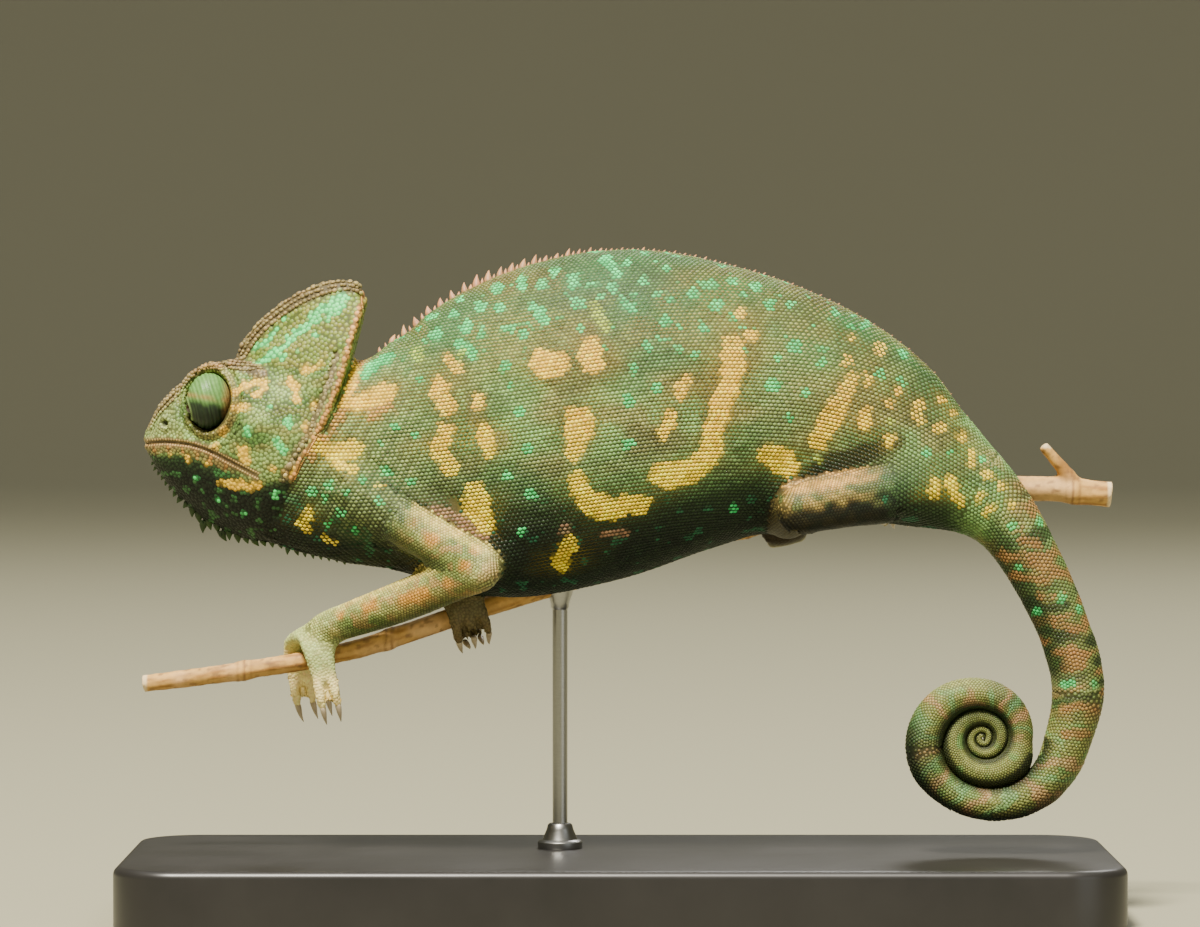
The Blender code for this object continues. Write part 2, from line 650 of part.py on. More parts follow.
def make_leg(name, path, radii, x, approach_deg, toes_near, toes_far, reach, skews, body):
    upper = upper_limb(f"upper_{name}", path, radii)
    cut(upper, body, keep=True)
    cut(upper, solid("perch_cutter", perch_rings(GAP)))
    keep_largest(upper)
    lower = lower_limb(f"lower_{name}", path, radii)
    cut(lower, upper_limb("thigh", path, radii, GAP))
    cut(lower, solid("perch_cutter", perch_rings(GAP)))
    cut(lower, body, keep=True)
    keep_largest(lower)
    make_foot(f"foot_{name}", path, radii, x, approach_deg, toes_near, toes_far, reach, skews, body)


def make_legs():
    """Fore feet have two toes outside and three inside; hind feet have three outside and two inside."""
    body = body_cutter()
    make_leg("fore_left", FORE_LEFT, FORE_RADII, -55.6, 96, 2, 3, 5.6, (-0.2, -3.4), body)
    make_leg("fore_right", FORE_RIGHT, FORE_RADII, -29.0, 80, 3, 2, 1.0, (0, 0), body)
    make_leg("hind_left", HIND_LEFT, HIND_RADII, 30.5, 172, 3, 2, 1.0, (0, 0), body)
    make_leg("hind_right", HIND_RIGHT, HIND_RADII, 52.0, 66, 2, 3, 0.0, (0, 0), body)
    bpy.data.objects.remove(body)


def smooth_all():
    for obj in bpy.context.scene.objects:
        obj.data.shade_smooth()
        obj.data.set_sharp_from_angle(angle=math.radians(40))


def main():
    for obj in list(bpy.data.objects):
        bpy.data.objects.remove(obj)
    make_head()
    make_trunk()
    make_tail()
    make_perch()
    make_stand()
    make_legs()
    smooth_all()


main()
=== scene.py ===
# %% [markdown]
# # A veiled chameleon on a cut perch
#
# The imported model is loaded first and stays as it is. Every piece made here is laid over it. Lengths are
# written in millimetres, because the animal's smallest scales are a third of a millimetre across, and MM
# turns them into Blender's metres wherever a mesh is made.

# %% Load the frame
import json
import math
import random
from collections import namedtuple
from itertools import product

import bmesh
import bpy
import numpy as np
from mathutils import Matrix, Vector
from mathutils.bvhtree import BVHTree
from mathutils.kdtree import KDTree


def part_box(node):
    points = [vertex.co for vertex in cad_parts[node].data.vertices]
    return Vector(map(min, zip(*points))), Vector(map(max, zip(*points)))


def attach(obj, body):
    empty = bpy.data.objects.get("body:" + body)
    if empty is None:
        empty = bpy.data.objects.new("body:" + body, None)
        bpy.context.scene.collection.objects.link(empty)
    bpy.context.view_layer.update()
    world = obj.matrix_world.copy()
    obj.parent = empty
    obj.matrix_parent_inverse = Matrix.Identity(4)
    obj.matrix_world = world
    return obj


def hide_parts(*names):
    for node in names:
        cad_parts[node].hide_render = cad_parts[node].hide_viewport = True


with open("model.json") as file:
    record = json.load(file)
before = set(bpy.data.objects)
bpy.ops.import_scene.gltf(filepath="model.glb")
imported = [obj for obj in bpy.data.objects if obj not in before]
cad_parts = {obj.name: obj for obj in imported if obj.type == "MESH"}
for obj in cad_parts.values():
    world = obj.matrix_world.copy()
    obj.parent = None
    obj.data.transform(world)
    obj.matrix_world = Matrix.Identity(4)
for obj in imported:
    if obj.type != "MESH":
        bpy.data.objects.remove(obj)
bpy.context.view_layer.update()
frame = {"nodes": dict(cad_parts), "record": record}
MM = 0.001
slot_of = {entry["node"]: entry["material_slot"] for entry in frame["record"]["subparts"]}
FLESH = [name for name in frame["nodes"] if slot_of[name] == "skin"]
CLAWS = [name for name in frame["nodes"] if slot_of[name] == "claw"]
print("frame:", len(frame["nodes"]), "nodes,", len(FLESH), "of flesh,", len(CLAWS), "claws")

# %% [markdown]
# ## The camera
#
# A long lens from a metre away keeps the animal's proportions true: near and far legs come out at almost
# the same scale. The camera stands level with the back and tips down by a degree or so.

# %% Camera
FRAME_CENTRE = Vector((-3.7, -5.0, 83.5))
FRAME_WIDTH = 222.0
CAMERA_DISTANCE = 1000.0
CAMERA_RISE = 1.2


def placed(name, data):
    """A new object in the scene."""
    made = bpy.data.objects.new(name, data)
    bpy.context.scene.collection.objects.link(made)
    return made


lens = bpy.data.cameras.new("camera")
lens.sensor_width = 36.0
lens.lens = lens.sensor_width * CAMERA_DISTANCE / FRAME_WIDTH
camera = placed("camera", lens)
rise = math.radians(CAMERA_RISE)
away = Vector((0, -math.cos(rise), math.sin(rise)))
camera.location = (FRAME_CENTRE + away * CAMERA_DISTANCE) * MM
camera.rotation_euler = (math.radians(90 - CAMERA_RISE), 0, 0)
bpy.context.scene.camera = camera
print("camera: lens", round(lens.lens, 1), "mm at", [round(c, 3) for c in camera.location])

# %% [markdown]
# ## Small tools
#
# A piece is a mesh object at the origin that rides on the model's one body, "root". Curves are Catmull-Rom
# splines through a few named points, and walk() steps along one at even distances.


# %% Objects and curves
def piece(name, mesh, material, replaces=()):
    """A mesh as a piece of the model."""
    made = placed(name, mesh)
    mesh.materials.clear()
    mesh.materials.append(material)
    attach(made, "root")
    if replaces:
        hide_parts(*replaces)


def mesh_of(bm, name, smooth=False):
    """The bmesh as a mesh, and the bmesh freed."""
    mesh = bpy.data.meshes.new(name)
    bm.to_mesh(mesh)
    bm.free()
    if smooth:
        mesh.shade_smooth()
    return mesh


def applied(holder):
    """The mesh of an object after its modifiers, and the object removed."""
    graph = bpy.context.evaluated_depsgraph_get()
    result = bpy.data.meshes.new_from_object(holder.evaluated_get(graph))
    bpy.data.objects.remove(holder)
    return result


def remeshed(mesh, voxel):
    """One closed shell round everything in the mesh, with edges about a voxel long."""
    holder = placed("remeshed", mesh)
    remesh = holder.modifiers.new("remesh", "REMESH")
    remesh.mode = "VOXEL"
    remesh.voxel_size = voxel * MM
    return applied(holder)


def welded(node):
    """A node as a bmesh, its loose triangles joined."""
    bm = bmesh.new()
    bm.from_mesh(frame["nodes"][node].data)
    bmesh.ops.remove_doubles(bm, verts=bm.verts, dist=1e-6)
    return bm


def spline(rows, t):
    i = min(max(int(t), 0), len(rows) - 2)
    f = t - i
    before, a, b, after = (rows[min(max(k, 0), len(rows) - 1)] for k in (i - 1, i, i + 1, i + 2))
    return [
        0.5 * (2 * q + (r - p) * f + (2 * p - 5 * q + 4 * r - s) * f * f + (3 * q - p - 3 * r + s) * f ** 3)
        for p, q, r, s in zip(before, a, b, after)
    ]


def walk(rows, step, fine=24):
    """(point, direction, distance so far) at even steps along the spline through rows.

    step is a distance or a function of the distance so far.
    """
    trail = [Vector(spline(rows, k / fine)) for k in range((len(rows) - 1) * fine + 1)]
    run = [0.0]
    for a, b in zip(trail, trail[1:]):
        run.append(run[-1] + (b - a).length)
    found, wanted, j = [], 0.0, 0
    while wanted <= run[-1]:
        while j < len(trail) - 2 and run[j + 1] < wanted:
            j += 1
        a, b = trail[j], trail[j + 1]
        found.append((a.lerp(b, (wanted - run[j]) / (run[j + 1] - run[j])), (b - a).normalized(), wanted))
        wanted += step(wanted) if callable(step) else step
    return found


def to_segment(x, z, a, b):
    """(share along the segment from a to b, distance from it) of points of the side view."""
    dx, dz = b[0] - a[0], b[1] - a[1]
    t = np.clip(((x - a[0]) * dx + (z - a[1]) * dz) / max(dx * dx + dz * dz, 1e-9), 0, 1)
    return t, np.hypot(x - a[0] - t * dx, z - a[1] - t * dz)


def polyline_distance(x, z, line):
    """How far points of the side view lie from a line of (x, z) points, and how far along it, 0 to 1."""
    best = np.full(len(x), 1e9)
    along = np.zeros(len(x))
    for k, (a, b) in enumerate(zip(line, line[1:])):
        t, away = to_segment(x, z, a, b)
        along = np.where(away < best, (k + t) / (len(line) - 1), along)
        best = np.minimum(best, away)
    return best, along


HASH_PRIMES = np.array([374761393, 668265263, 2147483647])
HASH_MIX = 1274126177


def lattice_noise(points, size, seed=0):
    """Smooth random values from 0 to 1, with features about size across."""
    p = np.asarray(points, float) / size + 37.7 * seed    # far from the other seeds' corner of the lattice
    cell = np.floor(p).astype(np.int64)
    f = p - cell
    f = f * f * (3 - 2 * f)
    total = np.zeros(len(p))
    for corner in range(8):
        bits = np.array([corner & 1, corner >> 1 & 1, corner >> 2 & 1])
        c = cell + bits
        h = (c @ HASH_PRIMES + seed * HASH_MIX) & 0xFFFFFFFF
        h = ((h ^ (h >> 13)) * HASH_MIX) & 0xFFFFFFFF
        value = ((h ^ (h >> 16)) & 0xFFFFFF) / 0xFFFFFF
        total += value * np.prod(np.where(bits, f, 1 - f), axis=1)
    return total


def ease(value, low, high):
    """0 below low, 1 above high, and an S-shaped rise between them."""
    t = np.clip((value - low) / (high - low), 0, 1)
    return t * t * (3 - 2 * t)


def medial(x):
    """The y of the animal's middle plane: straight along the trunk, turning the head away at the front."""
    ahead = -46.0 - x
    return -3.0 + 0.19 * (ahead + np.sqrt(ahead * ahead + 50)) / 2


print("tools ready; the snout's middle plane is at y =", round(float(medial(-89.0)), 2))

# %% [markdown]
# ## One skin over all the flesh
#
# The frame divides the animal where a person would name its parts. A living skin has no such seams, so
# the parts are copied, welded, swollen a little so that they meet, and turned into one shell by a voxel
# remesh. The shell is then relaxed: each vertex moves towards the middle of its neighbours, many times
# over on the smooth trunk and only a few times on the toes, which would otherwise melt away.

# %% The limbs' paths, and where the trunk's skin runs out over them
LIMB_PATHS = {
    "fore_left": [(-50, -8.5, 79), (-40, -11.2, 72.6), (-25.8, -14.6, 64.4), (-40, -8.4, 58.2),
                  (-55.2, 0.6, 52.6)],
    "fore_right": [(-50, 3, 80), (-37, 11, 81.5), (-21.5, 16.2, 82.5), (-26.5, 12, 71), (-29.4, 6.8, 60.6)],
    "hind_left": [(57, -7, 79.4), (45, -11.5, 77.6), (33, -15.6, 75.6), (31.2, -8, 73.2), (30.6, 0.4, 72.4)],
    "hind_right": [(57, 1.5, 80.5), (46, 9.5, 84.5), (36.0, 14.8, 85.4), (45, 13.2, 83.6), (53.0, 9.6, 82.2)],
}
TRUNK_REACH = {"fore_left": 11.5, "fore_right": 10.0, "hind_left": 10.0, "hind_right": 9.5}


def dressed_as(name, point):
    """The part whose skin covers a point: near the shoulder and the hip a limb wears the trunk's."""
    limb = name[6:]
    if name.startswith("upper_") and math.dist(point, LIMB_PATHS[limb][0]) < TRUNK_REACH[limb]:
        return "trunk"
    return name


print("limbs:", ", ".join(LIMB_PATHS))

# %% Weld the flesh into one shell
SKIN_VOXEL = 0.6
SWELL = 0.22
COAT_DEPTH = 0.16
COILED = ("tail_3", "tail_4", "tail_5")

flesh = bmesh.new()
flesh_owner = []
for name in FLESH:
    part = welded(name)
    flesh_owner += [name] * len(part.faces)
    flesh.from_mesh(mesh_of(part, "part"))
flesh.normal_update()
flesh_tree = BVHTree.FromBMesh(flesh)
coiled = [face for face, owner in zip(flesh.faces, flesh_owner) if owner in COILED]
bmesh.ops.delete(flesh, geom=coiled, context="FACES")
for vertex in flesh.verts:
    vertex.co += vertex.normal * SWELL * MM
shell = remeshed(mesh_of(flesh, "swollen"), SKIN_VOXEL)
print("shell:", len(shell.vertices), "vertices from", len(FLESH), "parts")

# %% Where the toes end


def read(rows, key, width, kind=float):
    """One property of a mesh's vertices or edges, as an array with width numbers a row."""
    values = np.empty(len(rows) * width, dtype=kind)
    rows.foreach_get(key, values)
    return values.reshape(-1, width)


def coordinates(mesh):
    return read(mesh.vertices, "co", 3) / MM


def claw_stations(node):
    """The root, the middle and the tip of a claw, read from its solid."""
    corners = [Vector(c) for c in np.unique(coordinates(frame["nodes"][node].data).round(4), axis=0)]
    corners.sort(key=lambda c: flesh_tree.find_nearest(c * MM)[3])
    quarter = max(len(corners) // 4, 3)
    root = sum(corners[:quarter], Vector()) / quarter
    tip = sum(corners[-quarter:], Vector()) / quarter
    middle = sum(corners[quarter:-quarter], Vector()) / len(corners[quarter:-quarter])
    return root, middle, tip


toe_groups = []
for node in CLAWS:
    root, middle, _ = claw_stations(node)
    if not toe_groups or toe_groups[-1][0] != node[5:-2] or (root - toe_groups[-1][1][-1]).length > 3.6:
        toe_groups.append((node[5:-2], [], []))
    toe_groups[-1][1].append(root)
    toe_groups[-1][2].append((middle - root).normalized())
claw_roots = np.array([root[:] for _, roots, _ in toe_groups for root in roots])
print("toes side by side:", [(foot, len(roots)) for foot, roots, _ in toe_groups])

# %% Relax the shell part by part
RELAX_ROUNDS = {
    "trunk": 170, "neck": 120, "tail_1": 110, "tail_2": 50, "tail_3": 22, "tail_4": 8, "tail_5": 4,
    "upper_fore_left": 34, "lower_fore_left": 26, "upper_fore_right": 34, "lower_fore_right": 26,
    "upper_hind_left": 34, "lower_hind_left": 22, "upper_hind_right": 34, "lower_hind_right": 22,
    "head": 12, "lower_jaw": 16, "casque": 7,
}
FOOT_ROUNDS = 4


def edge_ends(mesh):
    return read(mesh.edges, "vertices", 2, np.int64)


def neighbour_mean(values, ends, count):
    """The mean of each vertex's neighbours, for one or more numbers a vertex."""
    a, b = ends[:, 0], ends[:, 1]
    degree = np.bincount(a, minlength=count) + np.bincount(b, minlength=count)
    columns = [
        (np.bincount(a, v[b], count) + np.bincount(b, v[a], count)) / np.maximum(degree, 1)
        for v in np.atleast_2d(values.T)
    ]
    return np.stack(columns, axis=1)


def owners(points):
    """The frame's node that is nearest to each point."""
    return [dressed_as(flesh_owner[flesh_tree.find_nearest(Vector(p) * MM)[2]], p) for p in points]


skin_co = coordinates(shell)
skin_ends = edge_ends(shell)
skin_part = owners(skin_co)
to_claw = np.min(np.linalg.norm(skin_co[:, None] - claw_roots[None], axis=2), axis=1)
foot_rounds = FOOT_ROUNDS + 10 * ease(to_claw, 4, 8)
rounds = [RELAX_ROUNDS.get(part, of_foot) for part, of_foot in zip(skin_part, foot_rounds)]
rounds = np.array(rounds, float)[:, None]
for _ in range(12):
    rounds = 0.5 * rounds + 0.5 * neighbour_mean(rounds, skin_ends, len(rounds))
for k in range(int(rounds.max())):
    share = np.clip(rounds - k, 0, 1) * 0.5
    skin_co += share * (neighbour_mean(skin_co, skin_ends, len(skin_co)) - skin_co)
print("relaxed", len(skin_co), "vertices in up to", int(rounds.max()), "rounds")

# %% The back's line, which relaxing has lowered


def top_line(tree, xs, scale):
    """The heights of a surface on the animal's middle plane."""
    down = Vector((0, 0, -1))
    return np.array([tree.ray_cast(Vector((x, medial(x), 150)) * scale, down)[0].z / scale for x in xs])


line_x = np.arange(-46.0, 64.0, 0.5)
relaxed_tree = BVHTree.FromPolygons([Vector(c) for c in skin_co], [f.vertices[:] for f in shell.polygons])
skin_top = top_line(relaxed_tree, line_x, 1.0)
lost = top_line(flesh_tree, line_x, MM) - skin_top
lost = np.array([lost[max(k - 3, 0):k + 4].min() for k in range(len(lost))])
lost = np.convolve(np.pad(lost, 6, mode="edge"), np.ones(13) / 13, mode="valid")
lost *= ease(line_x, -46, -42) * ease(-line_x, -64, -58)
top_here = np.interp(skin_co[:, 0], line_x, skin_top)
on_back = ease(skin_co[:, 2] - top_here, -14, -2) * np.isin(skin_part, ["trunk", "neck", "tail_1"])
skin_co[:, 2] += on_back * np.interp(skin_co[:, 0], line_x, lost)
print("the back raised by up to", round(float(lost.max()), 2), "mm")

# %% [markdown]
# A voxel remesh would fuse the turns of the coiled tail, which press against each other. So that stretch
# is swept instead: a circle is extruded along the coil, and each new ring is turned, moved and shrunk by one
# matrix. It starts inside the end of the shell, a little thinner, so that the two meet without a step.

# %% The tail's path and its coil
TAIL_AXIS = [(65.5, 78.5), (70.4, 74.6), (74.2, 69.2), (77.5, 63.2), (80.3, 57.5), (82.6, 51.9), (84.3, 46.6),
             (85.1, 41.6), (84.6, 37.0)]
TAIL_Y = -4.6
COIL_CENTRE = (67.3, 32.7)
COIL_TURNS = 2.98
COIL_STEPS = 44
COIL_HURRY = 1.06               # the turns go by a little faster towards the tip
COIL = [(15.6, 9.4), (12.45, 7.1), (11.0, 6.8), (8.3, 5.6), (7.1, 4.4), (6.2, 4.0), (5.2, 3.5), (3.85, 2.65),
        (3.25, 2.2), (2.85, 1.85), (2.27, 1.5), (1.5, 1.4), (0.9, 1.25), (1.02, 1.3), (0.75, 1.25),
        (0.25, 1.3)]
TIP_TURNS = 3.74                # the skin's tip curls on into the hole of the coil
TIP_STEP = COIL_STEPS * (TIP_TURNS / COIL_TURNS) ** (1 / COIL_HURRY)
SHELL_ENDS = 7.75               # the coil step at which the shell's last part ends
SWEEP_FROM = 5.3
SWEEP_SIDES = 26
SWEEP_STEPS = 270
SCALE_SPACE = -0.06             # the scales of two turns just meet in the groove between them


def coil_at(step):
    """(centre, turn angle, thickness) of the coil at a step, which may be a fraction."""
    turns = COIL_TURNS * (step / COIL_STEPS) ** COIL_HURRY
    radius, thick = spline(COIL, turns * 4)
    angle = -2 * math.pi * turns
    x, z = COIL_CENTRE
    return Vector((x + radius * math.cos(angle), TAIL_Y, z + radius * math.sin(angle))), angle, thick


def pressed(step):
    """(shift outwards, growth) of the coil's section where it leans on its neighbouring turns."""
    turns = COIL_TURNS * (step / COIL_STEPS) ** COIL_HURRY

    def gap(t):
        (radius, thick), (inner, inner_thick) = spline(COIL, 4 * t), spline(COIL, 4 * (t + 1))
        return max(radius - thick / 2 - inner - inner_thick / 2, 0.0) / 2 + COAT_DEPTH - SCALE_SPACE

    swept = ease(turns, 0.42, 0.56)
    inside = gap(turns) * swept if turns + 1 < TIP_TURNS else 0.12
    outside = 0.0
    if turns > 1:
        outside = gap(turns - 1) * (2 - ease(turns, 1.42, 1.56)) * ease(turns, 1.0, 1.12)
    return (outside - inside) / 2, (outside + inside) / 2


def first_ring(bm, sides, radius, matrix):
    """The edges of a capped circle, from which a tube can be swept."""
    verts = bmesh.ops.create_circle(bm, cap_ends=True, segments=sides, radius=radius, matrix=matrix)["verts"]
    return list(dict.fromkeys(e for v in verts for e in v.link_edges))


def next_ring(bm, edges, matrix):
    """The edges of one more ring, extruded from edges and moved by the matrix."""
    grown = bmesh.ops.extrude_edge_only(bm, edges=edges)["geom"]
    bmesh.ops.transform(bm, matrix=matrix, verts=[g for g in grown if isinstance(g, bmesh.types.BMVert)])
    return [g for g in grown if isinstance(g, bmesh.types.BMEdge)]


def sweep_coil(bm):
    steps = [SWEEP_FROM + (TIP_STEP - SWEEP_FROM) * k / SWEEP_STEPS for k in range(SWEEP_STEPS + 1)]
    rings = []
    for step in steps:
        centre, angle, thick = coil_at(step)
        shift, growth = pressed(step)
        tuck = 0.6 * (1 - ease(step, SHELL_ENDS - 2.2, SHELL_ENDS - 0.6))
        tuck = tuck - 0.08 * ease(9 - step, 0, 1)
        outwards = Vector((math.cos(angle), 0, math.sin(angle)))
        rings.append((centre + outwards * shift, angle, thick / 2 + growth - tuck))
    centre, angle, size = rings[-1]
    onward = (centre - rings[-4][0]).normalized()
    for bend in (0.4, 0.8, 1.15, 1.4):
        rings.append((centre + onward * size * math.sin(bend), angle, size * max(math.cos(bend), 0.12)))
    start = Matrix.Translation(rings[0][0] * MM) @ Matrix.Rotation(-rings[0][1], 4, "Y")
    edges = first_ring(bm, SWEEP_SIDES, rings[0][2] * MM, start)
    for (old, old_angle, old_size), (new, new_angle, new_size) in zip(rings, rings[1:]):
        swing = Matrix.Rotation(old_angle - new_angle, 4, "Y") @ Matrix.Scale(new_size / old_size, 4)
        edges = next_ring(bm, edges, Matrix.Translation(new * MM) @ swing @ Matrix.Translation(-old * MM))
    bmesh.ops.contextual_create(bm, geom=edges)
    swept = {v for f in bm.faces if len(f.verts) == SWEEP_SIDES for v in f.verts}
    todo = set(swept)
    while todo:
        v = todo.pop()
        fresh = {e.other_vert(v) for e in v.link_edges} - swept
        swept |= fresh
        todo |= fresh
    faces = [f for f in bm.faces if f.verts[0] in swept]
    bmesh.ops.recalc_face_normals(bm, faces=faces)
    bmesh.ops.triangulate(bm, faces=[f for f in faces if len(f.verts) > 4])


print("coil: from", [round(c, 1) for c in coil_at(0)[0]], "to", [round(c, 1) for c in coil_at(COIL_STEPS)[0]])

# %% [markdown]
# The trunk will be hidden under thousands of scales, so its skin can be coarse, while the face needs
# edges a third of a millimetre long to hold lips, lids and ridges. Decimate takes a vertex group, which
# thins the trunk alone, and subdivide_edges then splits the faces of the head and of the toes, whose
# places are read from the roots of the claws.

# %% Coarse on the trunk, fine on the head and the toes
SHELL_KEPT = 0.42
TOE_REACH = 7.5                 # skin nearer than this to a claw's root is a toe's
COARSE = {"trunk", "neck", "tail_1"}
FINE = {"head", "lower_jaw", "casque"}

for vertex, co in zip(shell.vertices, skin_co * MM):
    vertex.co = co
thinned = placed("thinned", shell)
group = thinned.vertex_groups.new(name="coarse")
group.add([i for i, part in enumerate(skin_part) if part in COARSE], 1.0, "REPLACE")
decimate = thinned.modifiers.new("decimate", "DECIMATE")
decimate.ratio = SHELL_KEPT
decimate.vertex_group = group.name
shell = applied(thinned)

skin_bm = bmesh.new()
skin_bm.from_mesh(shell)
skin_bm.verts.ensure_lookup_table()
near_claw = [min(np.linalg.norm(claw_roots - np.array(v.co) / MM, axis=1)) < TOE_REACH for v in skin_bm.verts]
fine_verts = {
    v for v, part, toe in zip(skin_bm.verts, owners([v.co / MM for v in skin_bm.verts]), near_claw)
    if part in FINE or (toe and part.startswith("foot_"))
}
fine_edges = [e for e in skin_bm.edges if e.verts[0] in fine_verts and e.verts[1] in fine_verts]
bmesh.ops.subdivide_edges(skin_bm, edges=fine_edges, cuts=1, use_grid_fill=True)
bmesh.ops.triangulate(skin_bm, faces=[f for f in skin_bm.faces if len(f.verts) > 4])
sweep_coil(skin_bm)
skin_mesh = mesh_of(skin_bm, "skin")
skin_co = coordinates(skin_mesh)
skin_ends = edge_ends(skin_mesh)
skin_part = np.array(owners(skin_co))
print("skin:", len(skin_co), "vertices,", sum(len(f.vertices) - 2 for f in skin_mesh.polygons), "triangles")

# %% [markdown]
# ## The head's relief
#
# The head is a set of ridges and hollows on a simple wedge. Each feature is a line or a patch in the side
# view with a height and a width, and it lifts or sinks the skin along its own normals: the canthal ridge
# from the snout over the eye, the casque's rim and the ridge down its rear edge, the hollow cheek between
# them, the lips and the mouth's groove, the nostrils, and the folds that ring each eye turret.

# %% Lines of the head
MOUTH = [(-89.6, 87), (-84.8, 87.4), (-80, 87), (-76, 85.8), (-73, 84.3), (-69.8, 82.7), (-66.6, 81.1)]
BROW = [(-88.3, 91.0), (-86.9, 93.0), (-84.6, 95.1), (-82.6, 97.3), (-80.9, 99.5), (-79.0, 101.0),
        (-76.3, 102.0), (-73.6, 102.2), (-71.0, 101.7), (-68.6, 101.0), (-66.4, 100.3)]
RIM = [(-71.2, 102.6), (-69.4, 105.8), (-67.0, 108.8), (-64.2, 111.2), (-60.4, 113.8), (-57.4, 115.2),
       (-54.3, 116.3), (-50.8, 116.9), (-48.2, 116.3)]
REAR = [(-47.3, 115.2), (-48.3, 111.5), (-49.4, 107.6), (-50.5, 103.6), (-51.9, 98.6), (-54.0, 93.0),
        (-56.2, 88.2), (-58.8, 84.2), (-60.4, 80.6)]
KNOBS = [(x - 1.7, z) for x, z in REAR[3:]]
NOSTRIL = (-84.7, 90.9)
EYE = Vector((-76.2, 5.0, 95.0))
EYE_HALF = Vector((4.15, 4.6, 5.25))


def bump(distance, width):
    return np.exp(-((distance / width) ** 2))


def eye_ring(x, z):
    """How far out from the eye's outline a point of the side view lies, in millimetres."""
    reach = np.hypot((x - EYE.x) / EYE_HALF.x, (z - EYE.z) / EYE_HALF.z)
    return (reach - 1) * (EYE_HALF.x + EYE_HALF.z) / 2


def head_relief(p):
    x, z = p[:, 0], p[:, 2]
    out = np.abs(p[:, 1] - medial(x))
    on_side = np.clip((out - 1.2) / 2.0, 0, 1)
    mouth, mouth_along = polyline_distance(x, z, MOUTH)
    brow, brow_along = polyline_distance(x, z, BROW)
    rim, _ = polyline_distance(x, z, RIM)
    rear, _ = polyline_distance(x, z, REAR)
    ring = eye_ring(x, z)
    open_mouth = np.clip(1.25 - mouth_along, 0, 1)
    lift = 0.62 * bump(brow, 1.25) * on_side * np.clip(brow_along * 5, 0.2, 1)
    lift += 0.38 * bump(rim, 1.3)
    lift += 0.7 * bump(rear, 0.9) * on_side
    lift += 0.13 * bump(mouth - 0.8, 0.5) * open_mouth
    lift -= 0.24 * bump(mouth, 0.20) * open_mouth
    lift += 0.45 * bump(ring - 0.85, 0.5) * on_side - 0.3 * bump(ring - 1.9, 0.6) * on_side
    lift += 0.25 * bump(ring - 2.7, 0.6) * on_side * np.clip((x + 78) / 4, 0, 1)
    lift -= 0.75 * bump(np.hypot((x + 58.5) / 1.5, z - 107.5), 5.2) * on_side
    lift += 0.55 * bump(np.hypot(x + 66.5, (z - 90.5) * 1.2), 5.5) * on_side
    lift -= 0.4 * bump(np.hypot(x + 57.5, (z - 95) / 1.6), 2.6) * on_side
    lift += 0.35 * bump(np.hypot(x + 67.2, z - 80.4), 1.6) * on_side
    nostril = np.hypot(x - NOSTRIL[0], z - NOSTRIL[1])
    lift += (0.28 * bump(nostril - 0.95, 0.5) - 0.9 * bump(nostril, 0.55)) * on_side
    crown = np.clip((z - 96) / 4, 0, 1) * (x < -71) * np.clip(1 - out / 3.2, 0, 1)
    return lift - 0.8 * crown


def set_coordinates(mesh, co):
    mesh.vertices.foreach_set("co", (co * MM).ravel())
    mesh.update()


def vertex_normals(mesh):
    return read(mesh.vertex_normals, "vector", 3)


on_head = np.isin(skin_part, list(FINE))
near_head = on_head | ((skin_part == "neck") & (skin_co[:, 0] < -50))
fade = near_head.astype(float)[:, None]
for _ in range(6):
    fade = neighbour_mean(fade, skin_ends, len(fade))
for _ in range(2):
    skin_co += 0.5 * near_head[:, None] * (neighbour_mean(skin_co, skin_ends, len(skin_co)) - skin_co)
set_coordinates(skin_mesh, skin_co)
skin_co += vertex_normals(skin_mesh) * head_relief(skin_co)[:, None] * fade
print("head relief from", round(float(head_relief(skin_co).min()), 2), "to",
      round(float(head_relief(skin_co).max()), 2), "mm")

# %% [markdown]
# ## Folds on the body
#
# A chameleon's skin hangs on the shoulder and the hip in soft folds, and creases inside the elbow. The ribs
# show faintly through a fed female's flank. All of this is a tenth of a millimetre or two deep. The toes of
# each bundle are parted by deeper grooves.

# %% Soft folds, and the coat's depth taken off


def fold_wave(x, z):
    """The folds that run down from the nape, as a wave between -1 and 1."""
    return np.sin((x * 0.8 - 0.35 * z - 0.0045 * (z - 74) ** 2) * 2 * np.pi / 2.3)


def axis_height(x, limb, first, last):
    """The height of a limb's axis at x, between two stations of its path."""
    stations = sorted((p[0], p[2]) for p in LIMB_PATHS[limb][first:last + 1])
    return np.interp(x, *zip(*stations))


def body_relief(p, part):
    x, y, z = p.T
    flank = (part == "trunk") * np.clip((np.abs(y - medial(x)) - 4) / 5, 0, 1)
    ribs = np.sin((x + 0.22 * (z - 90)) * 2 * np.pi / 6.2 + 1.5 * lattice_noise(p, 14, 3))
    lift = 0.10 * ribs * flank * np.clip((x + 30) / 10, 0, 1) * np.clip((48 - x) / 10, 0, 1)
    lift += 0.25 * (lattice_noise(p, 7.0, 5) - 0.5) * flank
    shoulder, _ = polyline_distance(x, z, [(-44, 82.5), (-33, 78), (-22, 70)])
    lift -= 0.45 * bump(shoulder, 1.2) * np.isin(part, ["trunk", "neck"])
    elbow = bump(np.hypot(x + 24.8, z - 61.6), 3.2) * np.isin(part, ["upper_fore_left", "lower_fore_left"])
    under = ease(axis_height(x, "hind_left", 0, 2) - z, 0.5, 3.5) * ease(54 - x, 0, 5)
    lift += 0.6 * elbow + 0.6 * under * (part == "upper_hind_left")
    neck = (part == "neck") | ((part == "trunk") & (x < -38))
    lift += 0.20 * fold_wave(x, z) * neck * np.clip((100 - z) / 12, 0, 1) * np.clip((-30 - x) / 8, 0, 1)
    return lift


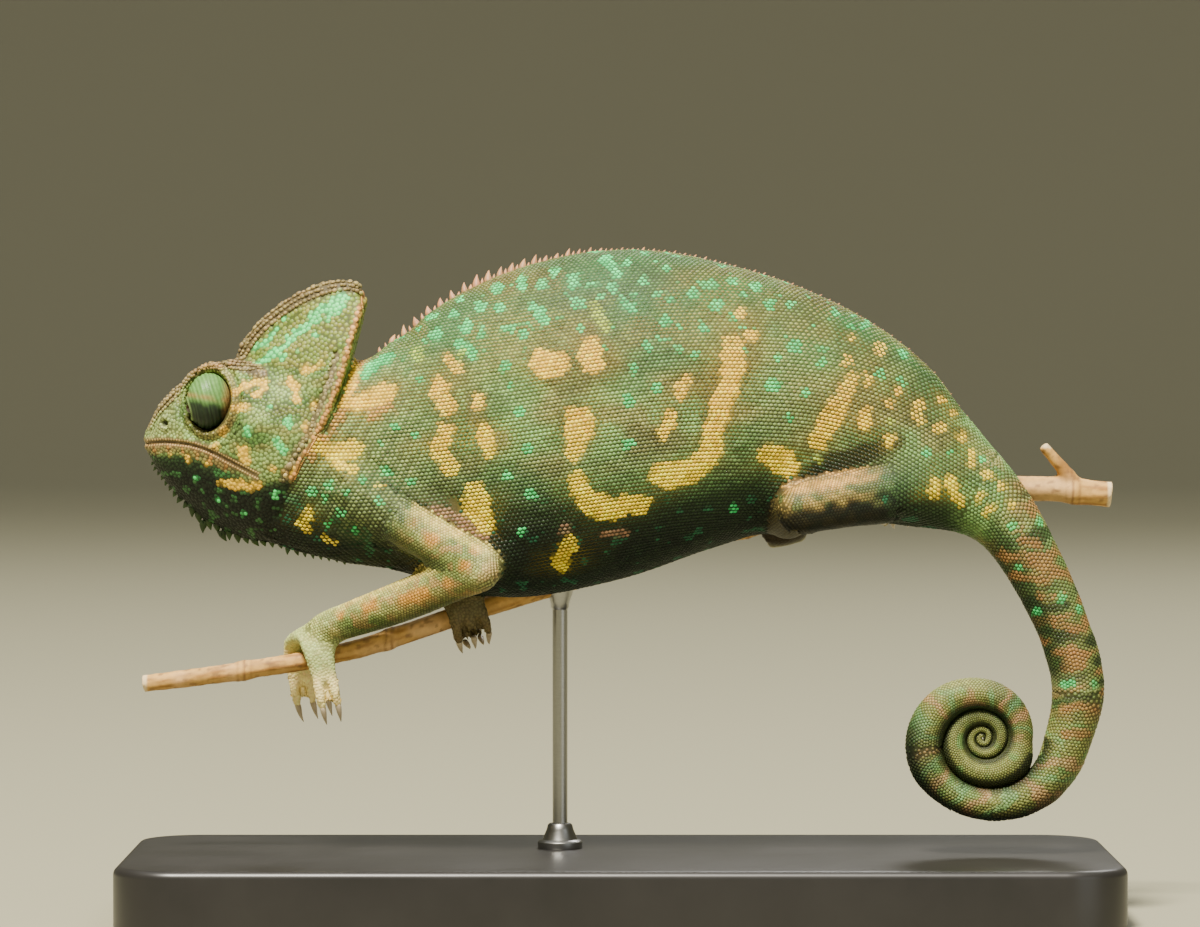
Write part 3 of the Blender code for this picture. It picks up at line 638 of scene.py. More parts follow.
def part_toes(co, normals):
    """Grooves pressed between the toes that lie side by side."""
    for foot, roots, onwards in toe_groups:
        middle = sum(roots, Vector()) / len(roots)
        across = (roots[-1] - roots[0]).normalized()
        ahead = sum(onwards, Vector()) / len(roots)
        ahead = (ahead - across * ahead.dot(across)).normalized()
        rel = co - np.array(middle)
        along, aside, height = (rel @ np.array(axis) for axis in (ahead, across, across.cross(ahead)))
        here = (skin_part == f"foot_{foot}") & (np.abs(height) < 3.4) & (along > -7) & (along < 3)
        slots = [(root - middle).dot(across) for root in roots]
        for slot in [(a + b) / 2 for a, b in zip(slots, slots[1:])]:
            groove = bump(aside - slot, 0.5) * ease(along, -6.5, -3.0) * here
            co = co - normals * (0.8 * groove)[:, None]
            notch = bump(aside - slot, 0.55) * ease(along, -2.4, -0.8) * here
            co = co - np.array(ahead) * (1.1 * notch)[:, None]
    return co


set_coordinates(skin_mesh, skin_co)
skin_co = part_toes(skin_co, vertex_normals(skin_mesh))
set_coordinates(skin_mesh, skin_co)
skin_co += vertex_normals(skin_mesh) * (body_relief(skin_co, skin_part) - COAT_DEPTH)[:, None]
set_coordinates(skin_mesh, skin_co)
skin_mesh.shade_smooth()
skin_tree = BVHTree.FromPolygons([Vector(c) for c in skin_co], [f.vertices[:] for f in skin_mesh.polygons])
print("skin spans", skin_co.min(axis=0).round(1), "to", skin_co.max(axis=0).round(1), "mm")

# %% [markdown]
# ## The markings
#
# The markings of a veiled chameleon are set by the animal's own map: yellow bars low on the flank, orange
# ones higher up, turquoise spots over the back, and bars round the tail. They are written here as strokes,
# each a few (x, z, radius) stations in the side view, and one function turns any point of the body into
# a colour. The skin and every scale ask that same function, so they always agree. The far side gets the
# same marks a few millimetres off, as no animal is the same on both sides.

# %% Colours


def linear(r, g, b):
    """A colour as it looks on a screen, 0 to 255, turned into light."""
    c = np.array([r, g, b]) / 255
    return np.where(c <= 0.04045, c / 12.92, ((c + 0.055) / 1.055) ** 2.4)


OLIVE = linear(138, 144, 76)
MOSS = linear(96, 132, 76)
UMBER = linear(120, 110, 58)
SAGE = linear(128, 168, 96)
TAUPE = linear(148, 150, 88)
FOREST = linear(36, 58, 30)
NIGHT = linear(16, 26, 14)
YELLOW = linear(246, 214, 54)
OCHRE = linear(244, 196, 58)
RUST = linear(170, 124, 70)
LIME = linear(186, 208, 80)
TEAL = linear(66, 226, 126)
PALE_TEAL = linear(92, 236, 128)
ROSE = linear(196, 146, 112)
LIMB = linear(180, 186, 108)
# The legs' darker underside: partly their own colour, partly painted shade.
LIMB_UNDER = linear(78, 90, 46)
TOE = linear(255, 234, 158)
THIGH = linear(206, 176, 96)
COIL_SKIN = linear(140, 146, 76)
RIDGE = linear(140, 118, 82)
HEAD_GREEN = linear(148, 174, 96)
HEAD_OLIVE = linear(144, 136, 70)
print("palette ready, from", NIGHT.round(3), "to", TOE.round(3))

# %% Strokes of the flank, by pigment
def spots(radius, *places):
    """Round spots of one radius."""
    return [(x, z, radius) for x, z in places]


YELLOW_STROKES = [
    [(-33.4, 98.6, 1.2), (-33, 97, 1.8), (-31.6, 93.8, 1.7)],
    [(-32, 89.6, 1.6), (-33.2, 86, 1.8), (-31, 83, 1.7)], [(-26.3, 95.5, 1.2), (-26.2, 94.5, 1.2)],
    [(-24.9, 90.2, 1.2), (-24.4, 88, 1.5), (-23.7, 85.6, 1.2)],
    [(-26.8, 78.6, 2.1), (-26.2, 76, 2.7), (-25, 73, 1.9)], [(-31.7, 103.2, 0.8), (-29.9, 101, 1.1)],
    [(-8.2, 81.6, 1.2), (-7.8, 79.5, 1.7), (-5.5, 76.4, 2.1), (-2, 75.4, 2.2), (1.5, 76, 1.9),
     (4, 76.6, 1.6)], [(18.9, 96, 1.9), (17.3, 90.5, 1.9), (16.4, 86, 2.1), (13.3, 82.7, 2.3),
     (10, 81.6, 2.3), (7.9, 81.6, 2.5)], [(27.6, 85.2, 2.2), (29.5, 84.2, 2.5), (31, 82.8, 1.8)],
    [(42.3, 98.7, 1.6), (39.8, 94, 2), (36.4, 87.8, 1.9)], [(45.2, 93, 1.1), (45, 90.6, 1.3)],
    [(49.8, 88.2, 1), (49.3, 86.9, 1.1)], [(57.7, 80.3, 0.9), (57.9, 77.8, 0.9)],
    [(60.7, 80.5, 1), (62.5, 76.6, 1)], [(67.3, 74.4, 0.7), (69.4, 75.9, 0.7)],
    [(-9.2, 69.2, 1.5), (-11, 65.2, 1.6)], [(-55.5, 87, 1.1), (-52.5, 85.6, 1.7), (-48.8, 86.2, 1.8)],
    [(-51.5, 83.4, 1.2), (-49.5, 82.8, 1)], [(-48.5, 94.6, 1.4), (-45.5, 96, 1.7), (-42.4, 97, 1.5)],
    [(-59.4, 72.2, 0.8), (-57.6, 71.6, 0.8)], [(-54.6, 69.5, 0.7), (-52.6, 69, 0.7)],
    *spots(0.6, (-44, 79.4)), *spots(1, (66.3, 77.4)), *spots(1.1, (41.9, 102.6)), *spots(1.2, (-57.6, 74.2)),
]
ORANGE_STROKES = [
    [(-13.6, 102.2, 2.7), (-11.9, 102.1, 2.7)], [(-5.6, 104.9, 2.2), (-5.2, 102.2, 2.1)],
    [(-7.6, 91.6, 2.7), (-7.2, 90.3, 2.7), (-8.2, 86.5, 1.6), (-8.3, 84.6, 1)],
    [(12, 98.9, 1.1), (10.9, 96.8, 1.2)], [(9.1, 93, 1.1), (8.9, 91.2, 1.3), (7.4, 89.2, 1.1)],
    [(20.2, 105.4, 1.8), (21, 102, 2.2), (20, 98.6, 2), (18.9, 96, 1.9)],
    [(54.6, 94.3, 1.1), (55, 91.7, 1.1)], [(64.8, 85, 0.8), (64.8, 83.6, 0.8)],
    [(45.5, 99.6, 0.8), (45.5, 98.4, 0.8)], [(-49.5, 101.5, 1.2), (-50, 98.5, 1.5), (-51.6, 95, 1.2)],
    *spots(0.8, (42.7, 106.7), (59, 95.2), (61.4, 92.8), (51, 97), (70.4, 79.4)),
    *spots(0.9, (22.2, 111.2), (49.2, 94.5), (63, 88.6), (72, 76.2)), *spots(1, (67.7, 81.4)),
    *spots(1.1, (58.6, 90.3)), *spots(1.2, (47.9, 104.6)), *spots(1.4, (23.9, 107.2)),
]
WARM_STROKES = YELLOW_STROKES + ORANGE_STROKES
NAPE_STROKES = [
    [(-47.4, 103.9, 0.9), (-49.2, 100, 1.5), (-51, 95.5, 1.8), (-53.2, 91, 1.6), (-56.4, 85.5, 1.3)],
    [(-45.6, 92.6, 1.1), (-42.6, 94, 0.9)],
]
LIME_STROKES = [
    [(-4.7, 112.6, 0.8), (-3.6, 110.4, 1), (-2.6, 108.4, 0.9)], *spots(0.6, (36.5, 84.6)),
    *spots(0.7, (49.5, 91.5)), *spots(0.9, (-28.9, 103.9)), *spots(1.4, (-37.3, 103.6)),
]
ROSE_STROKES = [
    [(-3, 71, 0.7), (1, 71, 0.7)], [(-34, 75.4, 0.9), (-29.5, 73.4, 1.1), (-25, 70, 1)],
    *spots(1.1, (-10, 71.6)),
]
TEAL_STROKES = [
    [(-47.5, 99.8, 0.8), (-45.4, 101.6, 0.9), (-42.4, 103.4, 0.8)], [(-29.4, 105.6, 0.9), (-27, 103.4, 0.9)],
    [(-16, 112.8, 0.8), (-13.8, 110.4, 0.9)], [(-18.1, 117.6, 0.7), (-17.9, 116.2, 0.8)],
    [(-8.6, 117.6, 0.9), (-8.4, 116.8, 0.9)], [(-2.5, 121, 0.8), (-0.7, 118.6, 0.9)],
    [(0.5, 113.5, 0.7), (2.2, 112.1, 0.7)], [(81.4, 43, 0.5), (83.4, 43, 0.5)], *spots(0.6, (9, 113.6),
     (28.3, 103), (52, 98.8), (87.6, 43.2), (-41.6, 90.4), (-37.4, 88.6), (-53.5, 79.6), (-50.2, 78.6),
     (-44, 87.4), (66.5, 84.6), (73.6, 64.6), (84.6, 56.8), (-49, 71.6)), *spots(0.7, (-21.2, 101.5),
     (-20, 98), (-20.6, 81.8), (-38.4, 80.3), (39.7, 111.6), (60.6, 85.7), (21, 75.5), (1.2, 120.6),
     (8.6, 119), (20.8, 116.8), (35.4, 108.9), (-37, 99.2), (-47, 80.4), (-54.5, 77.4), (-54, 72.2)),
    *spots(0.8, (-17.7, 107.3), (-1.4, 116), (4.2, 117), (13.3, 115), (-18.2, 93.2), (31.3, 112.6),
     (45.3, 109.2), (52.3, 104), (33.8, 96.4), (31.1, 91.9), (36.8, 102.2), (56.5, 85.7), (77.4, 73),
     (-25.6, 112.6), (-30.5, 111.2), (-12, 118.9), (-56.8, 78.4), (-51.6, 74.6)), *spots(0.9, (-14.4, 116.6),
     (4.8, 105.3), (13.6, 103.4), (2.5, 100.7), (6.6, 97.3), (1.3, 87.4), (-44.3, 76.8), (25, 116),
     (27.5, 113), (72.3, 72.4), (81.4, 58.8), (76.8, 56.2)),
    *spots(1, (8, 109.8), (-17, 86.5), (-18, 71), (-42.8, 82.3), (32, 105.3), (47.7, 100.2)),
    *spots(1.1, (-22.2, 112), (17.8, 112.7), (15.2, 108.6), (1.4, 95.2)),
    *spots(1.2, (-33.8, 107.5), (-22.6, 115.8), (-7.6, 112.9), (-16.4, 77.9)),
    *spots(1.3, (-28.4, 108.7), (28, 98)),
]
TAIL_BARS = [
    [(70.3, 66.6, 0.8), (72.8, 66, 0.8)], [(74.2, 69.4, 0.8), (77.4, 68.4, 0.7)],
    [(72.4, 62.9, 0.7), (78.8, 61.9, 0.9)], [(80.4, 63.9, 0.7), (83.2, 62.9, 0.7)],
    [(80.9, 53.7, 0.9), (85.6, 52.9, 0.8)], [(76.9, 51.2, 0.6), (78.6, 50.6, 0.6)],
    [(80.8, 48.9, 0.8), (85.6, 48.4, 0.8)], [(82.2, 38.4, 0.8), (88, 38.2, 0.8)],
    [(82, 33.8, 0.8), (86.6, 33.6, 0.8)], [(85.6, 58.9, 0.6), (86.6, 58.4, 0.6)],
    *spots(0.6, (77.5, 59), (76, 66), (81.5, 67.2)),
]
LIMB_STROKES = [
    [(-36, 59.8, 1.4), (-39.5, 58.6, 1.3)], [(-45.4, 57.6, 1.1), (-47, 57, 1)], *spots(0.7, (-29.6, 71.2)),
    *spots(0.8, (49.6, 79.4), (52, 76)),
    *spots(0.9, (-53.2, 52), (-31.4, 61.9), (-44.3, 70.8), (39.5, 79), (34.2, 76.4)),
    *spots(1, (-40.4, 68.8), (-51.8, 55.4), (45.8, 76.4)), *spots(1.1, (-38.2, 73.2), (-26.5, 68)),
    *spots(1.2, (-28.6, 65.2)), *spots(1.4, (-34.8, 69.6)),
]
print(sum(map(len, (YELLOW_STROKES, ORANGE_STROKES, TEAL_STROKES, TAIL_BARS, LIMB_STROKES))), "strokes")

# %% Strokes of the head
HEAD_ORANGE = [
    [(-72.6, 96.2, 0.6), (-70.4, 97.2, 0.6), (-68.2, 98.3, 0.7), (-65.6, 98.2, 0.6)],
    [(-67.3, 96, 0.6), (-65.6, 97.6, 0.7)], [(-71.6, 93.8, 0.6), (-68.6, 94, 0.6)],
    [(-60.9, 99.2, 0.7), (-59.8, 96.8, 0.8), (-59.3, 95.2, 0.6)], [(-58.2, 100.6, 0.6), (-55.2, 101.8, 0.7)],
    [(-57.8, 90.4, 0.7), (-57.2, 88.8, 0.6)], [(-69.6, 86.2, 1.1), (-69, 84.4, 1.1)],
    [(-61.8, 81.8, 0.8), (-58.4, 82.6, 0.7)], [(-73.6, 79.9, 0.8), (-70.6, 79.4, 0.9), (-67, 79.3, 0.8)],
    [(-80.2, 85.3, 0.5), (-80.2, 84.1, 0.4)], *spots(0.35, (-83.4, 85.2)), *spots(0.5, (-76.6, 83.6)),
    *spots(0.7, (-74.9, 87)), *spots(0.8, (-73.4, 89.4), (-64, 82.7)), *spots(0.9, (-56.4, 94.4)),
]
HEAD_TEAL = [
    [(-67, 101.9, 0.5), (-64.4, 103.8, 0.9), (-61.6, 105.4, 0.7), (-59.6, 107.8, 1), (-57, 110.2, 0.8),
     (-54.4, 112.6, 1.1), (-51.4, 114.5, 0.8)],
    [(-53.9, 110.6, 0.5), (-51.6, 112.6, 0.5), (-50.4, 114.2, 0.4)],
    [(-67.6, 104.6, 0.4), (-64.6, 107.4, 0.5), (-62.2, 110.2, 0.4)], [(-63.2, 87.6, 0.7), (-62, 85.8, 0.6)],
    *spots(0.4, (-59.6, 104.6), (-64.8, 94)), *spots(0.5, (-56.4, 107.6), (-78.4, 80.8), (-74.6, 76.6),
     (-69.6, 74.2), (-64, 77.6), (-66.2, 71.6), (-60.6, 75.8)), *spots(0.6, (-62.4, 103.4), (-61, 91.2)),
    *spots(0.9, (-69, 89.8)),
]


def stroke_depth(x, z, strokes):
    """How deep inside the nearest stroke or spot each point of the side view lies, in millimetres."""
    depth = np.full(len(x), -99.0)
    for stroke in strokes:
        stations = stroke if isinstance(stroke, list) else [stroke, stroke]
        for a, b in zip(stations, stations[1:]):
            t, away = to_segment(x, z, a, b)
            depth = np.maximum(depth, a[2] + t * (b[2] - a[2]) - away)
    return depth


print("head strokes:", len(HEAD_ORANGE) + len(HEAD_TEAL))

# %% [markdown]
# The base colour under the strokes also follows the animal: olive and brown mottle on the back, grey-green
# on the flank, and nearly black green under the belly and throat, partly their own dark colour and partly
# painted shade under the body. The legs are green and turn pale at the toes, with painted light along their
# tops and painted shade below, and two feet carry painted shadow. The coil is olive with beige bands, with
# painted light on its top and painted shade in its grooves and on its lower left. The top of the back is
# painted a little darker and the flank, neck and shoulder a little lighter, as painted light and shade.
# Noise of several sizes keeps it from looking painted.

# %% One function for every colour on the body
# Where the belly and throat darken: partly their own dark colour, partly painted shade under body and jaw.
DARK_BELOW = [(-92, 84), (-75, 82), (-66, 80), (-60, 77), (-45, 74.5), (-30, 75.5), (-15, 76), (0, 75.5),
              (15, 78), (30, 80.5), (45, 80), (60, 74), (66, 60), (95, 20)]
CHIN_BELOW = [(-90, 85.4), (-85.4, 85), (-78, 84.4), (-73, 82.2), (-67, 80.2), (-62.6, 80.8), (-59.5, 81.6),
              (-50, 79)]
# Painted shadow in the creases above the near arm and above the thigh.
CREASE_SHADOWS = [
    [(-43.5, 80.2, 0.1), (-40, 78.4, 0.3), (-36, 76.2, 0.2)],
    [(33.5, 80.8, 1), (38, 83.2, 1.9), (45, 85.6, 1.9), (51, 87.6, 1)],
]
LIMB_PARTS = [n for n in FLESH if n.startswith(("upper_", "lower_fore", "lower_hind"))]
FOOT_PARTS = [n for n in FLESH if n.startswith("foot_")]
TAIL_PARTS = ["tail_1", "tail_2", "tail_3", "tail_4", "tail_5"]


def mix(a, b, share):
    return a + (b - a) * np.asarray(share)[:, None]


def layered(base, *layers):
    """base with each (colour, share) mixed over it in turn."""
    for colour, share in layers:
        base = mix(base, colour, share)
    return base


def marked(x, z, strokes, ragged, spread=0.4):
    """How fully the strokes cover each point, with an edge that is ragged and as soft as spread."""
    return ease(stroke_depth(x, z, strokes) + ragged, -spread, spread)


def trunk_colours(p, u, w, noise, ragged, warm):
    """The back, the flank and the belly, without and with their markings."""
    coarse, middling, fine = noise
    low = np.interp(u, *zip(*DARK_BELOW))
    back = layered(MOSS, (OLIVE, ease(coarse * 0.5 + middling * 0.5, 0.34, 0.60)),
                   (UMBER, 0.6 * ease(middling * 0.6 + fine * 0.4, 0.52, 0.72)))
    flank = mix(SAGE, TAUPE, ease(middling, 0.4, 0.7))
    mottled = ease(0.5 - lattice_noise(p, 6.5, 15), 0, 0.14) * ease(106 - w, 0, 8)
    base = layered(
        back,
        (flank, ease(103 - w + 10 * (coarse - 0.5), 0, 14)),
        (FOREST, 0.42 * mottled),
        # Darker towards the belly: partly its own dark colour, partly painted shade under the body.
        (MOSS * 0.62, 0.8 * ease(low + 13 - w, 0, 11)),
        (FOREST, 0.9 * ease(low + 6 - w, 0, 8)),
        (NIGHT, ease(low + 1 - w, 0, 8) * (0.6 + 0.35 * fine)),
    )
    # Painted shade: the top of the back is made darker.
    base = base * (1 - 0.26 * ease(w, 104, 116))[:, None]
    fore = ease(-32 - u, 0, 9) * ease(108 - w, 0, 8)
    beside = ease(stroke_depth(u, w, WARM_STROKES), -1.8, -0.2)
    mint = TEAL * (0.75 + 0.5 * lattice_noise(p, 1.1, 31))[:, None]
    high = ease(lattice_noise(p, 2.0, 91), 0.72, 0.77) * ease(w, 98, 108)
    high *= ease(-stroke_depth(u, w, TEAL_STROKES), 0.9, 1.5)
    belly = ease(lattice_noise(p, 1.9, 92), 0.68, 0.78) * ease(low + 4 - w, 0, 6)
    base = layered(
        base,
        # Painted light: the mid flank, the neck and the shoulder are made lighter.
        (linear(156, 168, 100), 0.55 * ease(15 - np.hypot(u - 33, w - 97), 0, 12)),
        (linear(146, 166, 98), fore * 0.9 * ease(w, 72, 86)),
        (linear(136, 152, 90), 0.7 * ease(13 - np.hypot(u + 46.5, w - 80), 0, 7)),
        # Painted shade in the grooves of the folds down the neck.
        (NIGHT, fore * ease(-fold_wave(u, w), 0.1, 0.9) * 0.42),
        # Painted shadow along the creases above the near arm and the thigh.
        (NIGHT * 0.8, 0.85 * ease(stroke_depth(u, w, CREASE_SHADOWS) + ragged, -1.0, 0.6)),
        (UMBER * 0.8, 0.55 * beside * ease(w, 78, 92)),
        (linear(216, 156, 78), 0.8 * marked(u, w, NAPE_STROKES, 1.6 * ragged, 0.7)),
        (mint, 0.8 * high),
        (linear(40, 116, 78), 0.55 * belly),
    )
    return base, layered(
        base,
        (mint, 0.97 * marked(u, w, TEAL_STROKES, ragged + 0.1, 0.2)),
        (LIME, 0.85 * marked(u, w, LIME_STROKES, ragged)),
        (ROSE, 0.6 * marked(u, w, ROSE_STROKES, ragged - 0.1)),
        (warm * 1.12, 0.97 * marked(u, w, WARM_STROKES, ragged, 0.3)),
    )


COIL_ROWS = np.array([(t, *spline(COIL, 4 * t)) for t in np.linspace(0, TIP_TURNS, 600)])


def on_coil(x, z):
    """(turns run so far, share of the half thickness left to the turn's edge, side) of points on the coil."""
    off_x, off_z = x - COIL_CENTRE[0], z - COIL_CENTRE[1]
    turn, reach = (-np.arctan2(off_z, off_x) / (2 * np.pi)) % 1, np.hypot(off_x, off_z)
    nearest, run, share, side = np.full(len(x), 99.0), np.zeros(len(x)), np.ones(len(x)), np.zeros(len(x))
    for n in range(4):
        radius = np.interp(turn + n, COIL_ROWS[:, 0], COIL_ROWS[:, 1])
        half = np.interp(turn + n, COIL_ROWS[:, 0], COIL_ROWS[:, 2]) / 2
        away = reach - radius
        closer = (np.abs(away) < nearest) & (turn + n < TIP_TURNS)
        nearest = np.where(closer, np.abs(away), nearest)
        run = np.where(closer, turn + n, run)
        share = np.where(closer, 1 - np.abs(away) / half, share)
        side = np.where(closer, np.sign(away), side)
    return run, share, side


def tail_colours(p, u, w, base, noise, ragged, warm):
    """The tail: rust bars and mint spots, painted shade under the hanging part, painted light and shade on
    the coil.
    """
    x, y, z = p.T
    _, middling, fine = noise
    across = np.stack([x * 0.45 + z * 0.1, y * 0.45, z * 1.25 - x * 0.3], axis=1)
    bars = lattice_noise(across, 2.5, 43)
    upright = ease(z, 33, 42) * ease(x, 70, 76)
    axis_x = np.interp(-z, *zip(*[(-b, a) for a, b in TAIL_AXIS if a > 66]))
    under = ease(axis_x - x, 0.5, 3.5) * ease(z, 34, 44) * ease(x, 66, 70)
    off_x, off_z = x - COIL_CENTRE[0], z - COIL_CENTRE[1]
    coil = ease(np.hypot(off_x, off_z), 23.5, 21) * ease(46 - z, 0, 6)
    run, share, side = on_coil(x, z)
    banding = np.sin(np.arctan2(off_z, off_x) * 9 + 5.0 * middling + 2.0 * fine) * coil
    banding *= 1 - 0.7 * ease(run, 0.95, 1.1)
    banding *= 1 - ease(x, 75, 78) * ease(z, 33, 38)
    rim_shade = ease(-off_z - 0.5 * off_x, -4, 10) * ease(0.9 - share, 0, 0.62)
    groove = ease(0.62 - share, 0, 0.5) * (side < 0)
    groove = groove + ease(0.45 - share, 0, 0.4) * (side > 0) * (run > 1.05)
    shaded = ease(off_z, -1, 5) * (run > 1) * (run < 2.2) * coil
    left = ease(-off_x - 5, 0, 6) * ease(5 - off_z, 0, 6) * coil
    return layered(
        base,
        (COIL_SKIN, ease(74 - z, 0, 26) * (0.78 + 0.22 * middling)),
        (linear(92, 156, 84),
         0.5 * ease(lattice_noise(p, 2.4, 41), 0.58, 0.72) * ease(middling, 0.35, 0.6)),
        (linear(86, 100, 50), 0.55 * upright * ease(74 - z, 0, 8)),
        (RUST, 0.8 * ease(bars, 0.56, 0.68) * upright),
        (linear(38, 56, 30), 0.8 * ease(bars, 0.46, 0.34) * upright),
        # Painted shade along the underside of the hanging tail.
        (FOREST, 0.75 * under),
        # Painted light on the top of the coil.
        (linear(206, 208, 132), 0.75 * ease(off_z, 6, 14) * coil),
        (linear(196, 146, 102), 0.6 * ease(banding, 0.55, 0.95)),
        (linear(116, 176, 112), 0.5 * ease(-banding, 0.6, 0.95)),
        (NIGHT, 0.92 * rim_shade * (side > 0) * (run < 1.1) * coil),
        # Painted shade in the grooves between the coil's turns.
        (NIGHT, 0.85 * np.clip(groove, 0, 1) * coil),
        # Painted shade on the top of the second turn and on the coil's lower left side.
        (FOREST, np.clip(0.5 * shaded + 0.5 * left, 0, 1)),
        (RUST, 0.8 * marked(u, w, TAIL_BARS, ragged, 0.5)),
        (TEAL, 0.75 * marked(u, w, TEAL_STROKES, ragged)),
        (warm, 0.9 * marked(u, w, WARM_STROKES, ragged)),
    )


def thigh_layers(p, below, ragged, fine):
    """A thigh: mottled olive, painted light on top, green near the hip, near black below: dark skin and
    painted shade.
    """
    blotch = ease(lattice_noise(p, 1.8, 57), 0.46, 0.6)
    underside_shade = below + 2.4 * (fine - 0.5) + 2.4 * (lattice_noise(p, 2.2, 58) - 0.5)
    return [
        (mix(THIGH * 0.66, linear(92, 106, 58), blotch), np.full(len(p), 0.9)),
        # Painted light along the top of the thigh.
        (linear(222, 166, 84), 0.65 * ease(-below + 1.4 * ragged, 1.9, 3.2)),
        (MOSS * 0.6, 0.9 * ease(p[:, 0] + 5 * ragged, 42, 50)),
        (linear(84, 84, 50), 0.5 * ease(lattice_noise(p, 1.1, 59), 0.46, 0.66)),
        # Painted shade underneath, over the thigh's own darker underside.
        (NIGHT * 0.5, 0.95 * ease(underside_shade, -1.8, 1.9)),
    ]


def limb_colours(p, part, body, foot, noise, ragged):
    """The legs: painted light above, darker skin and painted shade below, running into the body and the foot.
    """
    x, y, z = p.T
    coarse, middling, fine = noise
    near_side = 1 - np.clip((y + 4) / 4, 0, 1)
    limb = layered(
        LIMB * 0.92,
        (linear(124, 144, 76), ease(middling, 0.35, 0.65)),
        (linear(104, 122, 66), 0.5 * ease(lattice_noise(p, 1.2, 53), 0.5, 0.7)),
        (linear(206, 180, 110), 0.45 * ease(coarse, 0.5, 0.75)),
        (RUST, 0.8 * ease(lattice_noise(p, 4.2, 51), 0.58, 0.70) * np.clip((y - 2) / 3, 0.25, 1)),
        (linear(196, 146, 90), 0.5 * ease(lattice_noise(p, 1.6, 52), 0.56, 0.68) * (x < 0)),
        (linear(212, 150, 62), 0.9 * marked(x, z, LIMB_STROKES, ragged, 0.7) * near_side),
    )
    for name, path in LIMB_PATHS.items():
        reach, far = TRUNK_REACH[name], 5 * name.endswith("right")
        root, bend, end = (np.linalg.norm(p - np.array(path[k]), axis=1) for k in (0, 2, 4))
        for upper, first, last in ((True, 0, 2), (False, 2, 4)):
            below = axis_height(x, name, first, last) - z
            layers = []
            if upper:
                green = ease(reach + 8 + far - root + 4 * ragged, 0, 7 + far)
                layers.append((linear(104, 126, 70), 0.8 * green))
            # Painted light along the top of each leg; below its axis the darker underside, partly own colour,
            # partly painted shade.
            shade = ease(below, 0.8, 3.8) * (0.2 + 0.8 * ease(bend, 3, 9))
            layers.append((linear(236, 214, 112), 0.6 * ease(-below + ragged, 2.0, 3.8)))
            layers.append((LIMB_UNDER, 0.85 * shade))
            if upper and name.startswith("hind"):
                layers += thigh_layers(p, below, ragged, fine)
            # Painted shadow: the near hind shank lies in shade under the thigh and the belly.
            if name == "hind_left" and not upper:
                layers.append((linear(54, 46, 26), np.full(len(p), 0.9)))
            # Painted light on the near elbow.
            if name == "fore_left":
                elbow = ease(6 - bend, 0, 4) * ease(x, -29, -24)
                layers.append((linear(238, 222, 150), 0.6 * elbow))
            if name != "hind_left" and not upper:
                layers.append((foot, ease(8.5 - end + 4 * ragged, 0, 6)))
            if upper:
                layers.append((body, 1 - ease(root + 4.5 * ragged, reach + 0.2, reach + 1.6 + far)))
            chosen = part == f"{'upper' if upper else 'lower'}_{name}"
            limb = layered(limb, *((colour, share * chosen) for colour, share in layers))
    # Painted shade on the side of the near upper legs that faces the body.
    inside = np.isin(part, ["upper_fore_left", "upper_hind_left"]) * ease(y, -14, -7)
    return mix(limb, FOREST, 0.6 * inside)


def foot_colours(p, noise):
    """The feet: the legs' green on the back of the hand, cream toes, and painted shadow on the far fore and
    near hind feet.
    """
    x, y, _ = p.T
    fine = noise[2]
    wrists = np.array([path[-1] for path in LIMB_PATHS.values()])
    reach = np.min(np.linalg.norm(p[:, None] - wrists[None], axis=2), axis=1)
    hind_foot_shadow = ease(x, 15, 20) * ease(46 - x, 0, 4) * ease(9 - y, 0, 4)
    return layered(
        LIMB,
        (linear(186, 198, 126), ease(reach, 2, 6)),
        (TOE, ease(reach + 1.5 * (fine - 0.5), 7.5, 11)),
        (linear(150, 134, 84), 0.25 * ease(fine, 0.55, 0.8)),
        # Painted shadow on the far fore foot, darkest on its near face.
        (linear(84, 66, 38), (0.9 - 0.4 * ease(y, 5, 10)) * ease(x, -40, -36)),
        # Painted shadow on the near hind foot under the knee.
        (linear(44, 34, 20), 0.9 * hind_foot_shadow),
    )


